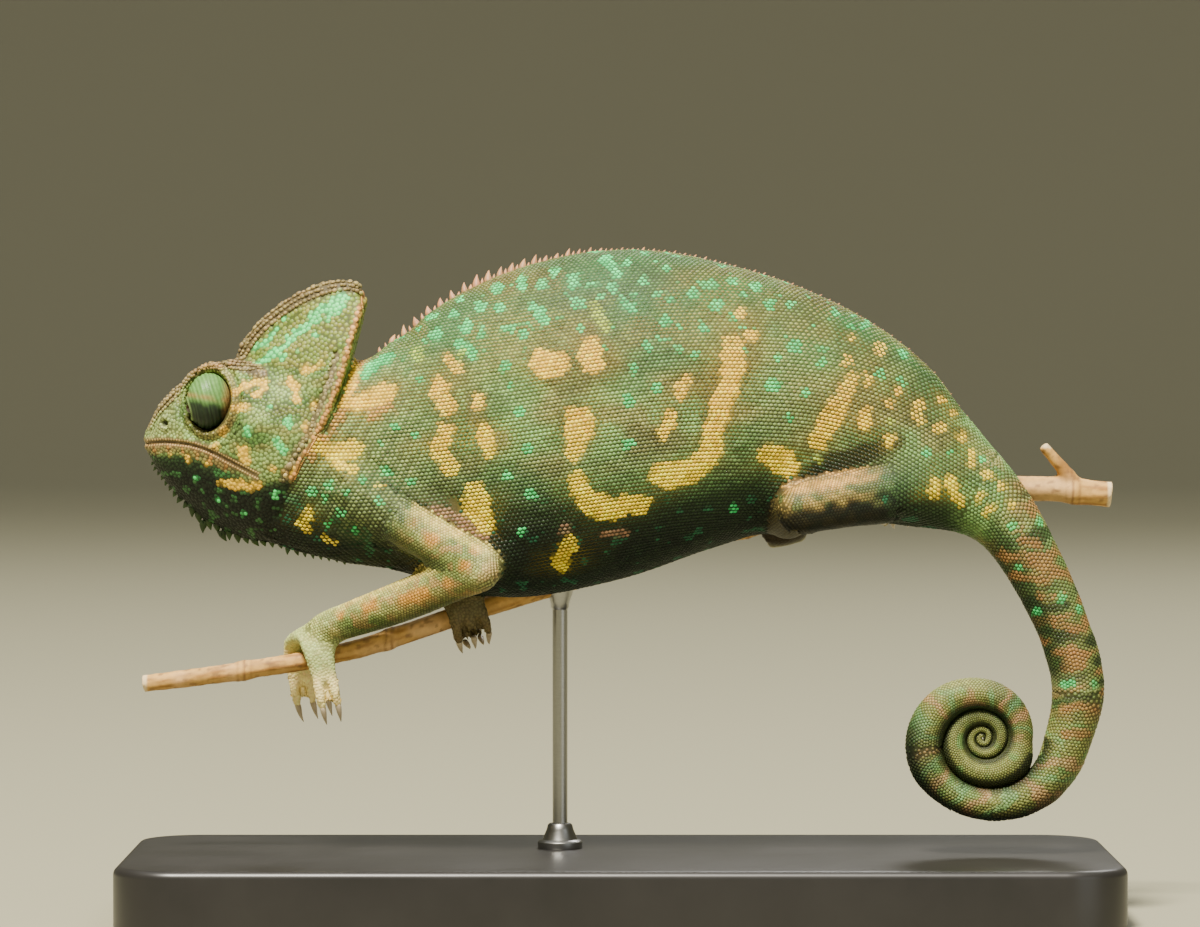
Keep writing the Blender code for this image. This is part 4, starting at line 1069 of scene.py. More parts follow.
def head_colours(p, u, w, noise, ragged):
    """The head: green cheeks and casque, a dark throat, light ridges and lips, and a shadow round the eye."""
    x, y, z = p.T
    _, middling, fine = noise
    chin = np.interp(u, *zip(*CHIN_BELOW))
    helmet = ease(w - np.interp(u, [-72, -66, -50, -46], [103, 100.5, 101, 100]), -1, 2)
    head = layered(
        HEAD_GREEN,
        (linear(90, 124, 60), ease(middling, 0.35, 0.7)),
        (HEAD_OLIVE, 0.55 * ease(fine, 0.45, 0.8)),
        (FOREST, 0.4 * ease(lattice_noise(p, 3.0, 83), 0.52, 0.7)),
        # Darker under the chin and on the throat: partly their own dark colour, partly painted shade under
        # the jaw.
        (FOREST, ease(chin - w + 1.2 * (middling - 0.5), -0.8, 0.8) * 0.94),
        (NIGHT, ease(chin - 1 - w, -1, 2.5) * 0.94),
        (linear(70, 132, 70), 0.55 * ease(lattice_noise(p, 1.5, 81), 0.6, 0.76) * (w < chin)),
        (linear(158, 170, 106), 0.75 * ease(-82.0 - u, -2, 3) * ease(w, 85, 87.5)),
        (mix(linear(116, 146, 58), linear(150, 146, 70), fine), 0.8 * helmet),
        (OCHRE, 0.95 * marked(u, w, HEAD_ORANGE, ragged)),
        (PALE_TEAL, 0.96 * marked(u, w, HEAD_TEAL, 1.3 * ragged, 0.2)),
    )
    for line, width, colour in ((BROW, 1.15, RIDGE), (RIM, 1.5, RIDGE), (KNOBS, 0.7, linear(158, 140, 100)),
                                (REAR, 0.55, linear(222, 158, 88))):
        away, _ = polyline_distance(x, z, line)
        head = mix(head, colour, 0.85 * ease(width - away + 0.3 * ragged, -0.2, 0.25))
    lips, lip_along = polyline_distance(x, z, MOUTH)
    in_mouth = lip_along < 0.999
    below_lip = ease(2.3 - lips + 0.5 * ragged, 0, 0.5) * (z < np.interp(x, *zip(*MOUTH)))
    below_lip *= ease(-70 - x, 0, 3)
    ring = eye_ring(x, z)
    lid = ease(1.5 - np.abs(ring - 0.6), 0, 0.7) * ease(u, -80.5, -78)
    nostril = np.hypot(x - NOSTRIL[0], z - NOSTRIL[1])
    above = ease(-np.abs(y - medial(x)) + 1.6, 0, 1) * ease(w, 96, 99) * (x < -70)
    return layered(
        head,
        (linear(150, 122, 72), 0.6 * below_lip),
        (linear(206, 138, 66), 0.7 * below_lip * ease(np.sin(x * 2.3), 0.7, 0.95)),
        (linear(190, 152, 100), 0.75 * ease(0.95 - lips, -0.2, 0.3) * in_mouth),
        # Painted shade in the groove of the mouth.
        (linear(44, 34, 18), 0.9 * ease(0.22 - lips, 0, 0.12) * in_mouth),
        (linear(170, 128, 76), 0.45 * lid),
        (FOREST * 0.7, 0.7 * ease(0.2 - ring, 0, 0.5)),
        # Painted shade in the nostril's hollow.
        (NIGHT * 0.4, ease(0.62 - nostril, 0, 0.25)),
        (RIDGE * 0.8, 0.5 * above),
    )


def pigment(p, part):
    """Colours of points p that belong to the named parts."""
    x, y, z = p.T
    side = np.clip((y - medial(x)) / 4, 0, 1)
    u = x + side * (1.6 + 2.2 * np.sin(z * 0.16))
    w = z + side * (1.2 * np.sin(x * 0.11 + 1.0))
    noise = [lattice_noise(p, size, seed) for size, seed in ((13, 11), (5, 12), (1.7, 13))]
    ragged = (lattice_noise(p, 1.3, 21) - 0.5) * 1.3
    warm = mix(YELLOW, OCHRE, ease(w + 6 * (noise[0] - 0.5), 80, 97))
    base, body = trunk_colours(p, u, w, noise, ragged, warm)
    tail = tail_colours(p, u, w, base, noise, ragged, warm)
    foot = foot_colours(p, noise)
    limb = limb_colours(p, part, body, foot, noise, ragged)
    colour = body
    for group, painted in ((TAIL_PARTS, tail), (LIMB_PARTS, limb), (FOOT_PARTS, foot),
                           (list(FINE), head_colours(p, u, w, noise, ragged))):
        colour = np.where(np.isin(part, group)[:, None], painted, colour)
    return np.clip(colour, 0, 1)


def paleness(colours):
    """1 for the pale markings, between which the gaps are pale too, and 0 for the dark ground."""
    return ease(colours.mean(axis=1), 0.36, 0.50)


def paint(mesh, colours):
    layer = mesh.attributes.new("pigment", "FLOAT_COLOR", "POINT")
    rgba = np.ones((len(colours), 4))
    rgba[:, :3] = colours
    layer.data.foreach_set("color", rgba.ravel())


skin_pigment = pigment(skin_co, skin_part)
for _ in range(2):
    skin_pigment = 0.5 * skin_pigment + 0.5 * neighbour_mean(skin_pigment, skin_ends, len(skin_pigment))
# The skin shows only in the gaps between scales: painted darker, partly its own colour and partly painted
# shade.
between = np.select([np.isin(skin_part, FOOT_PARTS), np.isin(skin_part, list(FINE))], [0.66, 0.36], 0.30)
between = between[:, None]
for _ in range(4):
    between = neighbour_mean(between, skin_ends, len(between))
between = between + 0.25 * paleness(skin_pigment)[:, None]
paint(skin_mesh, skin_pigment * between)
print("skin painted, mean", skin_pigment.mean(axis=0).round(3))

# %% [markdown]
# ## The scales
#
# A chameleon's coat is thousands of small domes that touch but don't overlap. One scale is modelled: a
# hexagon whose middle is raised by inset_region and closed by poke. Fifty thousand copies as objects would
# be far too slow, so its few vertices are multiplied with arrays, which is what a joined mesh is.

# %% One scale
SCALE_SUNK = 0.10
SCALE_RISE = 0.17


def arrays_of(bm):
    """The bmesh's points and triangles, and the bmesh freed."""
    bm.verts.index_update()
    points = np.array([v.co[:] for v in bm.verts])
    triangles = np.array([[v.index for v in f.verts] for f in bm.faces])
    bm.free()
    return points, triangles


def scale_template():
    """Corners, triangles and height (0 at the rim, 1 above) of one scale a millimetre across on z = 0."""
    bm = bmesh.new()
    rim = bmesh.ops.create_circle(bm, cap_ends=True, segments=6, radius=0.60)["verts"]
    hexagon = bm.faces[:][0]
    bmesh.ops.inset_region(bm, faces=[hexagon], thickness=0.20, use_boundary=True, use_even_offset=True)
    middle = bmesh.ops.poke(bm, faces=[hexagon])["verts"][0]
    bmesh.ops.triangulate(bm, faces=bm.faces[:])
    for v in bm.verts:
        v.co.z = -SCALE_SUNK if v in rim else SCALE_RISE if v is middle else SCALE_RISE * 0.76
    bm.normal_update()
    if sum(f.normal.z for f in bm.faces) < 0:
        bmesh.ops.reverse_faces(bm, faces=bm.faces[:])
    height = np.array([0.0 if v in rim else 1.0 if v is middle else 0.82 for v in bm.verts])
    return *arrays_of(bm), height


SCALE = scale_template()
print("one scale:", len(SCALE[0]), "vertices,", len(SCALE[1]), "triangles")
Root = namedtuple("Root", "point normal along size uv part")
print("a root is", Root._fields)

# %% [markdown]
# On the trunk, tail and legs the scales stand in rows that run lengthwise. So each of these is a lane: an
# axis inside the skin, with stations half a scale apart. From every station rays fan out to the skin, and
# rows are counted off along the skin from the middle of each flank, so that they stay level there and run
# out at the belly and the back. Odd rows use odd stations, which packs the scales like a honeycomb.

# %% Rows of scales along an axis
FAN = 120                       # rays to half a turn
ROW_STEP = 0.866                # rows stand closer than scales in a row do, by the height of a triangle


def fan_hits(centre, across, up, angles, parts):
    """Where rays from centre meet the skin; None where another part is in the way."""
    found = []
    for a in angles:
        direction = across * math.cos(a) + up * math.sin(a)
        hit, normal, _, far = skin_tree.ray_cast(centre, direction)
        if hit is not None:
            outer, slope, _, more = skin_tree.ray_cast(hit + direction * 0.02, direction, 0.7)
            if outer is not None and slope.dot(direction) > 0:
                hit, normal, far = outer, slope, far + more + 0.02
        owned = hit is not None and owners([hit])[0] in parts
        found.append((hit, normal, far) if owned else None)
    return found


def lane(rows, parts, pitch, lateral=Vector((0, -1, 0))):
    """Roots in level rows round the spline through rows; pitch is a function of the distance along."""
    roots = []
    stations = walk(rows, lambda run: pitch(run) / 2)
    length = stations[-1][2]
    angles = [math.pi * (k / FAN) for k in range(-FAN, FAN)]
    for i, (centre, along, run) in enumerate(stations):
        across = (lateral - along * lateral.dot(along)).normalized()
        up = across.cross(along)
        hits = fan_hits(centre, across, up, angles, parts)
        known = [k for k, h in enumerate(hits) if h]
        if len(known) < 8:
            continue
        radius = np.interp(range(len(hits)), known, [hits[k][2] for k in known], period=len(hits))
        ring = np.stack([np.cos(angles) * radius, np.sin(angles) * radius], axis=1)
        size = pitch(run)
        for flank in (0, FAN):
            for turn in (1, -1):
                order = [(FAN + flank + turn * k) % (2 * FAN) for k in range(FAN // 2 + 1)]
                steps = np.linalg.norm(np.diff(ring[order], axis=0), axis=1)
                length_here = np.concatenate([[0], np.cumsum(steps)])
                row = (i + (turn < 0)) % 2
                while row * size * ROW_STEP < length_here[-1] - 0.25 * size:
                    if turn > 0 or row > 0:
                        t = np.interp(row * size * ROW_STEP, length_here, range(len(order)))
                        a = angles[order[0]] + turn * t * math.pi / FAN
                        hit = fan_hits(centre, across, up, [a], parts)[0]
                        if hit:
                            share = (a / (2 * math.pi)) % 1
                            roots.append(Root(*hit[:2], along, size, (run / length, share), parts[0]))
                    row += 2
    return roots


TRUNK_AXIS = [(-60.5, 85.4), (-54, 85.2), (-48.9, 85.3), (-43.5, 85.7), (-37.3, 86.4), (-30.5, 87.3),
              (-23, 88.4), (-14, 89.8), (-4, 91.4), (6.5, 92.7), (16.5, 93.3), (26, 93.1), (35, 92.4),
              (43.5, 90.4), (51.5, 87.1), (59, 82.5), (66.5, 77.7)]
TRUNK_PITCH = 0.80
trunk_rows = [(x, medial(x), z) for x, z in TRUNK_AXIS]
trunk_roots = lane(trunk_rows, ["trunk", "neck"], lambda run: TRUNK_PITCH)
print("trunk and neck:", len(trunk_roots), "scales")

# %% The tail and the legs
def tail_rows():
    """The tail's axis as x, y, z and pitch of the scales there."""
    rows = []
    for x, z in TAIL_AXIS:
        share = ease(x, 60, 76)
        rows.append((x, medial(x) + (TAIL_Y - medial(x)) * share, z, 0.78 if z > 60 else 0.72))
    for k in range(2, int(2 * TIP_STEP)):
        centre, _, thick = coil_at(k / 2)
        if k > 6:
            rows.append((*centre, max(0.34, 0.30 + 0.045 * thick)))
    return rows


tail_path = tail_rows()
tail_run = [0.0]
for a, b in zip(tail_path, tail_path[1:]):
    tail_run.append(tail_run[-1] + math.dist(a[:3], b[:3]))
tail_pitch = [row[3] for row in tail_path]
tail_roots = lane([row[:3] for row in tail_path], TAIL_PARTS,
                  lambda run: float(np.interp(run, tail_run, tail_pitch)))
print("tail:", len(tail_roots), "scales over", round(tail_run[-1]), "mm")

LIMB_PITCH = 0.60
limb_roots = []
strip = 0
for limb, path in LIMB_PATHS.items():
    for half, (first, last) in (("upper", (0, 2)), ("lower", (2, 4))):
        rows = path[first:last + 1]
        axis = (Vector(rows[-1]) - Vector(rows[0])).normalized()
        lateral = Vector((0, 0, 1)) if abs(axis.y) > 0.75 else Vector((0, -1, 0))
        beyond = Vector(rows[-1]) + axis * (3.6 if half == "upper" else 1.0)
        before = Vector(rows[0]) - axis * (3.0 if half == "lower" else 0.0)
        stations = [before, *map(Vector, rows[1:-1]), beyond]
        for root in lane(stations, [f"{half}_{limb}"], lambda run: LIMB_PITCH, lateral):
            limb_roots.append(root._replace(uv=(root.uv[0], (strip + root.uv[1]) / 8)))
        strip += 1
print("legs:", len(limb_roots), "scales in", strip, "strips")

# %% [markdown]
# On the head and the feet there are no long rows: the scales are pebbles that fit where they fall. They
# are thrown at random on the skin and kept only where they aren't too near one that is already there,
# which is called dart throwing. The eyes, the lips, the nostrils and the ridges are kept clear.

# %% Pebbles on the head and the feet


def toss(dice, corners, tries):
    """Points thrown evenly on triangles of the skin, and the triangle that each one fell on."""
    a, b, c = (skin_co[corners[:, k]] for k in range(3))
    area = np.linalg.norm(np.cross(b - a, c - a), axis=1)
    pick = dice.choice(len(corners), tries, p=area / area.sum())
    u, v = dice.random((2, tries))
    over = u + v > 1
    u, v = np.where(over, 1 - u, u)[:, None], np.where(over, 1 - v, v)[:, None]
    return a[pick] + u * (b - a)[pick] + v * (c - a)[pick], pick


def cell_of(p, size):
    return tuple(int(c // size) for c in p)


def neighbours(grid, cell):
    """What a grid holds in a cell and the 26 cells round it."""
    cells = (tuple(c + d for c, d in zip(cell, step)) for step in product((-1, 0, 1), repeat=3))
    return (held for near in cells for held in grid.get(near, ()))


def tree_of(points):
    tree = KDTree(len(points))
    for i, p in enumerate(points):
        tree.insert(p, i)
    tree.balance()
    return tree


first_corners = np.array([f.vertices[:3] for f in skin_mesh.polygons])


def scatter(parts, spacing, clear, tries, seed):
    """Roots thrown on the parts; spacing gives each point's size and clear says where none go."""
    dice = np.random.default_rng(seed)
    quads = [f.vertices[:] for f in skin_mesh.polygons if len(f.vertices) == 4]
    corners = first_corners
    if quads:
        corners = np.concatenate([corners, np.array([(q[0], q[2], q[3]) for q in quads])])
    thrown, _ = toss(dice, corners[np.isin(skin_part[corners[:, 0]], parts)], tries)
    thrown = thrown[~clear(thrown)]
    size = spacing(thrown)
    cell = float(size.max())
    grid, kept = {}, []
    for p, s in zip(thrown.tolist(), size.tolist()):
        key = cell_of(p, cell)
        if all(math.dist(p, q) > 0.5 * (s + other) for q, other in neighbours(grid, key)):
            grid.setdefault(key, []).append((p, s))
            kept.append((p, s))
    tree = tree_of([p for p, _ in kept])
    roots = []
    for p, s in kept:
        gaps = [d for _, _, d in tree.find_n(p, 6)][1:]
        hit, normal, _, _ = skin_tree.find_nearest(Vector(p))
        turn = dice.random() * math.pi
        along = Vector((math.cos(turn), 0.3, math.sin(turn)))
        roots.append(Root(hit, normal, along, min(sum(gaps) / len(gaps), 1.3 * s), None, parts[0]))
    return roots


def head_clear(p):
    x, y, z = p.T
    lips, lip_along = polyline_distance(x, z, MOUTH)
    ring = eye_ring(x, z)
    on_side = np.abs(y - medial(x)) > 1.5
    nostril = np.hypot(x - NOSTRIL[0], z - NOSTRIL[1]) < 0.6
    return (((lips < 0.85) & (lip_along < 0.999)) | (ring < 0.25) | nostril) & on_side


def head_spacing(p):
    x, _, z = p.T
    ring = eye_ring(x, z)
    base = np.where(z > 102, 0.72, np.where(x < -80, 0.52, 0.60))
    return np.where(ring < 2.2, 0.46, base)


def head_unwrap(p):
    """Both cheeks laid flat side by side, with the crown and the chin opened outwards."""
    x, y, z = p
    out = y - medial(x)
    up = z - 90
    v = up + math.copysign(0.8 * (8 - min(abs(out), 8)), up)
    return ((x + 92) / 52 * 0.48 + (0.5 if out > 0 else 0.0), (v + 36) / 76)


head_roots = scatter(list(FINE), head_spacing, head_clear, 110000, 1)
head_roots = [r._replace(uv=head_unwrap(r.point)) for r in head_roots]
print("head:", len(head_roots), "pebbles")

FOOT_PITCH = 0.46
foot_roots = []
for k, foot in enumerate(FOOT_PARTS):
    middle = Vector(skin_co[skin_part == foot].mean(axis=0))
    pebbles = scatter([foot], lambda p: np.full(len(p), FOOT_PITCH), lambda p: np.zeros(len(p), bool),
                      22000, 20 + k)
    for root in pebbles:
        out = root.point - middle
        u = (math.atan2(out.y, out.z) / (2 * math.pi)) % 1
        v = (out.x + 12) / 24 * 0.5 + (0.5 if root.normal.dot(out) < 0 else 0)
        foot_roots.append(root._replace(uv=((k + u * 0.98) / 4, v)))
print("feet:", len(foot_roots), "pebbles")

# %% [markdown]
# Where two lanes meet, such as at the hip, their scales would overlap, so those that crowd an earlier
# scale are dropped. Each root then becomes a scale: its corners are turned to the skin's slope, sized a
# little at random, and coloured by the one pigment function, darker at the rim, partly for the darker skin
# of the gaps and partly as painted shade where the scales meet.

# %% Roots into coats
CROWDED = 0.62
PALE_GAP = 0.34                 # how much lighter the gaps are between scales of a pale marking


def uncrowded(*groups):
    """The same groups without the roots that stand too near one of an earlier group."""
    result, taken = [], []
    for group in groups:
        tree = tree_of([root.point for root in taken])
        kept = [r for r in group if not taken or tree.find(r.point)[2] > CROWDED * r.size]
        result.append(kept)
        taken += kept
    return result


def coat_mesh(name, roots, template, seed, gap=0.30, squash=(1.0, 1.0, 1.0), vary=0.18, colour=None):
    """One joined mesh with the template standing at every root."""
    points, triangles, height = template
    dice = np.random.default_rng(seed)
    count, corners = len(roots), len(points)
    at = np.array([r.point[:] for r in roots])
    up = np.array([r.normal[:] for r in roots])
    along = np.array([r.along[:] for r in roots])
    along -= up * np.sum(along * up, axis=1)[:, None]
    along /= np.maximum(np.linalg.norm(along, axis=1), 1e-6)[:, None]
    across = np.cross(up, along)
    size = np.array([r.size for r in roots]) * dice.uniform(0.93, 1.05, count)
    rise = dice.uniform(0.75, 1.25, count)
    local = points[None] * size[:, None, None] * np.array(squash)
    local[:, :, 2] *= rise[:, None]
    co = (at[:, None] + local[:, :, :1] * along[:, None] + local[:, :, 1:2] * across[:, None]
          + local[:, :, 2:] * up[:, None])
    mesh = bpy.data.meshes.new(name)
    index = (triangles[None] + (np.arange(count) * corners)[:, None, None]).reshape(-1, 3)
    mesh.vertices.add(count * corners)
    mesh.vertices.foreach_set("co", (co * MM).ravel())
    mesh.loops.add(index.size)
    mesh.loops.foreach_set("vertex_index", index.ravel())
    mesh.polygons.add(len(index))
    mesh.polygons.foreach_set("loop_start", np.arange(len(index)) * 3)
    mesh.update(calc_edges=True)
    mesh.shade_smooth()
    root_colour = pigment(at, np.array([r.part for r in roots])) if colour is None else colour
    root_colour = root_colour * dice.uniform(1 - vary, 1 + vary, (count, 1))
    root_colour = root_colour * dice.uniform(0.95, 1.05, (count, 3))
    # Darker towards each scale's rim: partly the darker skin of the gaps, partly painted shade where scales
    # meet.
    gaps = np.minimum(gap + PALE_GAP * paleness(root_colour), 1.0)[:, None]
    shade = gaps + (1 - gaps) * height[None]
    paint(mesh, np.clip(root_colour[:, None] * shade[:, :, None], 0, 1).reshape(-1, 3))
    layer = mesh.uv_layers.new(name="OFBake")
    uv = np.array([r.uv for r in roots])[:, None] + points[None, :, :2] * 0.0026
    layer.data.foreach_set("uv", np.clip(uv, 0, 1).reshape(-1, 2)[index.ravel()].ravel())
    return mesh


def filled(groups, tries, seed):
    """The groups with scales added wherever the skin would show bare."""
    every = [(root, k) for k, group in enumerate(groups) for root in group]
    tree = tree_of([root.point for root, _ in every])
    points, pick = toss(np.random.default_rng(seed), first_corners, tries)
    grid, added = {}, [list(group) for group in groups]
    for p, part in zip(points, skin_part[first_corners[pick, 0]]):
        at = Vector(p)
        _, i, away = tree.find(at)
        root, k = every[i]
        if away < ROOMY * root.size or part in FINE or away > STRAY:
            continue
        cell = cell_of(p, 1.0)
        if any((at - q).length < ROOMY * root.size for q in neighbours(grid, cell)):
            continue
        hit, normal, _, _ = skin_tree.find_nearest(at)
        cover, slope, _, _ = skin_tree.ray_cast(hit + normal * 0.02, normal, 1.5)
        if cover is not None and slope.dot(normal) > 0:
            continue
        grid.setdefault(cell, []).append(at)
        step = (at - Vector(root.point)) * 0.007
        uv = (min(max(root.uv[0] + step.x, 0), 1), min(max(root.uv[1] + step.z + step.y, 0), 1))
        added[k].append(Root(hit, normal, root.along, root.size, uv, root.part if away < 2 else str(part)))
    return added


ROOMY = 0.80      # a scale is added where the nearest is further off than this share of its size
STRAY = 14                      # and nearer than this, in millimetres
body_groups = filled(uncrowded(trunk_roots, tail_roots, limb_roots, head_roots, foot_roots), 160000, 7)
trunk_roots, tail_roots, limb_roots, head_roots, foot_roots = body_groups
print("scales kept:", [len(g) for g in body_groups])

# %% [markdown]
# ## Crests, ridge beads and lips
#
# A low saw of soft cones runs down the neck and back, a second one hangs under the throat, and larger,
# rounder scales sit like beads along the brow, the casque's rim and its rear ridge. Each is a template on
# a line of roots, just as the coat is.

# %% Templates of a spine and a bead
SPINE_FOOT = 0.44


def finished(bm, low, high):
    """A bmesh as (points, triangles, height 0..1) and freed."""
    bmesh.ops.triangulate(bm, faces=bm.faces[:])
    bmesh.ops.recalc_face_normals(bm, faces=bm.faces[:])
    points, triangles = arrays_of(bm)
    return points, triangles, np.clip((points[:, 2] - low) / (high - low), 0, 1)


def spine_template():
    """A cone a millimetre high, leaning back, with a soft swollen foot."""
    bm = bmesh.new()
    bmesh.ops.create_circle(bm, cap_ends=True, segments=8, radius=SPINE_FOOT)
    face = bm.faces[:][0]
    size = SPINE_FOOT
    for height, radius, back in ((0.25, 0.36, 0.02), (0.55, 0.24, 0.07), (0.85, 0.11, 0.16), (1, 0.03, 0.22)):
        face = bmesh.ops.extrude_face_region(bm, geom=[face])["geom"]
        face = next(g for g in face if isinstance(g, bmesh.types.BMFace))
        middle = face.calc_center_median()
        for v in face.verts:
            v.co = Vector((back, 0, height)) + (v.co - middle).to_2d().to_3d() * radius / size
        size = radius
    for v in bm.verts:
        if v.co.z < 0.01:
            v.co.z = -0.35
    bmesh.ops.delete(bm, geom=[f for f in bm.faces if len(f.verts) == 8 and f.calc_center_median().z < 0.1
                               and abs(f.normal.z) > 0.9], context="FACES_ONLY")
    return finished(bm, -0.1, 0.4)


def bead_template():
    bm = bmesh.new()
    bmesh.ops.create_icosphere(bm, subdivisions=2, radius=0.56)
    for v in bm.verts:
        v.co.z = v.co.z * 0.85 + 0.10
    return finished(bm, -0.1, 0.25)


SPINE = spine_template()
BEAD = bead_template()
print("spine:", len(SPINE[1]), "triangles; bead:", len(BEAD[1]))

# %% Lines of roots on the skin


def mid_line(xs, from_above):
    """Points and slopes of the skin on the animal's middle plane, met from above or below."""
    found = []
    for x in xs:
        start = Vector((x, medial(x), 150 if from_above else 61))    # 61 is between the hand and the throat
        hit, normal, _, _ = skin_tree.ray_cast(start, Vector((0, 0, -1 if from_above else 1)))
        if hit:
            found.append((hit, normal))
    return found


def graded(first, last, pitch, last_pitch):
    xs = [first]
    while xs[-1] < last:
        xs.append(xs[-1] + pitch + (last_pitch - pitch) * (xs[-1] - first) / (last - first))
    return xs


def crest_root(hit, normal, size, lean, part, k, count):
    up = (Vector((normal.x, 0, normal.z)).normalized() + lean).normalized()
    along = Vector((up.z, 0, -up.x)) if up.z > 0 else Vector((-up.z, 0, up.x))
    return Root(hit, up, along, size, (0.02 + 0.96 * k / count, 0.5), part)


dice = random.Random(4)
back = mid_line(graded(-44.5, 64, 1.15, 0.75), True)
back_roots = []
for k, (hit, normal) in enumerate(back):
    front = 1 - ease(hit.x, -24, 2)
    tall = (0.62 + 1.05 * front) * (1.0 if k % 2 == 0 else 0.62 - 0.12 * front)
    tall *= dice.uniform(0.86, 1.12) * (1 - 0.45 * ease(hit.x, 10, 60))
    tall *= ease(hit.x, -47, -42.5)
    back_roots.append(crest_root(hit, normal, float(tall), Vector((0.3, 0, 0)), "trunk", k, len(back)))
chin_line = mid_line(np.arange(-87.2, -50.0, 0.05), False)
throat, paced = [], 9.0
for before, now in zip(chin_line, chin_line[1:]):
    paced += (now[0] - before[0]).length
    if paced > np.interp(now[0].x, [-86, -79, -70, -50], [1.0, 1.75, 1.7, 1.5]):
        throat.append(now)
        paced = 0.0
throat_roots = []
for k, (hit, normal) in enumerate(throat):
    tall = np.interp(hit.x, [-87, -83, -78.5, -72, -67, -60, -52], [0.6, 1.0, 1.5, 1.5, 1.2, 0.95, 0.6])
    tall = float(tall) * dice.uniform(0.92, 1.08)
    throat_roots.append(crest_root(hit, normal, tall, Vector((0.2, 0, 0)), "lower_jaw", k, len(throat)))
print("back crest:", len(back_roots), "spines; throat crest:", len(throat_roots))

# %% Beads on the ridges


def ridge_roots(line, pitch, half_width, size, part, v, jitter):
    """Beads on both sides along a ridge; half_width is the ridge's distance from the middle plane."""
    roots = []
    steps = walk([(x, 0, z) for x, z in line], pitch)
    for sign in (-1, 1):
        for p, direction, run in steps:
            share = run / steps[-1][2]
            out = float(np.interp(share, *zip(*half_width)))
            guess = Vector((p.x, medial(p.x) + sign * out, p.z))
            guess += direction * dice.uniform(-jitter, jitter) * pitch
            hit, normal, _, _ = skin_tree.find_nearest(guess)
            grown = size * dice.uniform(1 - jitter, 1 + jitter)
            uv = (0.02 + 0.96 * share, v + 0.05 * (sign > 0))
            roots.append(Root(hit, normal, direction, grown, uv, part))
    return roots


def shifted(line, right, down):
    return [(x + right, z - down) for x, z in line]


BEAD_ROWS = (       # a line, the pitch, the distance from the middle plane, the size, v and the jitter
    (shifted(BROW, 0.35, 0.75), 0.7,
     [(0, 2.9), (0.3, 4.5), (0.55, 5.6), (0.8, 5.3), (1, 3.9)], 0.66, 0.95, 0.1),
    (BROW, 0.86, [(0, 2.6), (0.3, 3.9), (0.55, 4.9), (0.8, 4.6), (1, 3.4)], 0.92, 0.05, 0.1),
    (BROW[1:], 0.80, [(0, 1.9), (0.3, 3.0), (0.55, 3.9), (0.8, 3.6), (1, 2.4)], 0.78, 0.15, 0.1),
    (RIM, 0.95, [(0, 0.5), (1, 0.45)], 0.95, 0.25, 0.28),
    (shifted(RIM, 0.28, 0.5), 0.80, [(0, 1.3), (0.5, 1.0), (1, 0.9)], 0.76, 0.3, 0.26),
    (shifted(RIM, 0.6, 1.15), 0.84, [(0, 2.1), (0.5, 1.6), (1, 1.4)], 0.80, 0.35, 0.22),
    (REAR, 0.36, [(0, 1.4), (0.3, 3.6), (0.6, 5.8), (0.85, 7.2), (1, 7.4)], 0.38, 0.45, 0.1),
    (KNOBS, 1.25, [(0, 4.2), (0.4, 6.0), (0.7, 7.0), (1, 7.6)], 0.92, 0.55, 0.42),
)
bead_roots = []
for k, (line, pitch, half_width, size, v, jitter) in enumerate(BEAD_ROWS):
    bead_roots += ridge_roots(line, pitch, half_width, size, "head" if k < 3 else "casque", v, jitter)
print("ridge beads:", len(bead_roots))

# %% Rows of scales on the lips


def lip_roots(side):
    """One row above and one below the mouth on one side of the face, from the front to the corner."""
    roots = []
    steps = walk([(x, 0, z) for x, z in MOUTH], 0.52)
    for row, offset in enumerate((0.50, -0.52)):
        for p, direction, run in steps:
            at = p + Vector((-direction.z, 0, direction.x)) * offset + direction * 0.3 * (row % 2)
            start = Vector((at.x, medial(at.x) + side * 40, at.z))
            hit, normal, _, _ = skin_tree.ray_cast(start, Vector((0, -side, 0)))
            if hit and abs(hit.y - start.y) < 42:
                uv = (0.02 + 0.46 * run / steps[-1][2] + 0.5 * (side > 0), 0.7 + 0.02 * row)
                roots.append(Root(hit, normal, direction, 0.52, uv, "head"))
    return roots


lips = lip_roots(-1) + lip_roots(1)
bead_roots, lips, head_roots = uncrowded(bead_roots, lips, head_roots)
print("lips:", len(lips), "scales; pebbles left on the head:", len(head_roots))

# %% [markdown]
# ## Shader tools
#
# A small class wraps a socket so that shader maths reads as maths, and finish_of() makes one material with
# its Principled shader. What is the same all over is set on the shader's own sockets.

# %% Sockets as numbers


class Value:
    """A socket that numbers can be added to and multiplied by; node() makes any other node."""

    def __init__(self, tree, socket):
        self.tree, self.socket = tree, socket

    def node(self, kind, settings=(), inputs=(), output=0):
        made = self.tree.nodes.new(kind)
        for key, value in dict(settings).items():
            setattr(made, key, value)
        for key, value in dict(inputs).items():
            if isinstance(value, Value):
                self.tree.links.new(value.socket, made.inputs[key])
            else:
                made.inputs[key].default_value = value
        return Value(self.tree, made.outputs[output])

    def maths(self, operation, a, b):
        return self.node("ShaderNodeMath", {"operation": operation}, {0: a, 1: b})

    def __radd__(self, other):
        return self.maths("ADD", other, self)

    def __rmul__(self, other):
        return self.maths("MULTIPLY", other, self)


def blended(start, kind, share, colour_a, colour_b):
    """Two colours put together, the second by its share."""
    settings = {"data_type": "RGBA", "blend_type": kind}
    return start.node("ShaderNodeMix", settings, {0: share, 6: colour_a, 7: colour_b}, output=2)


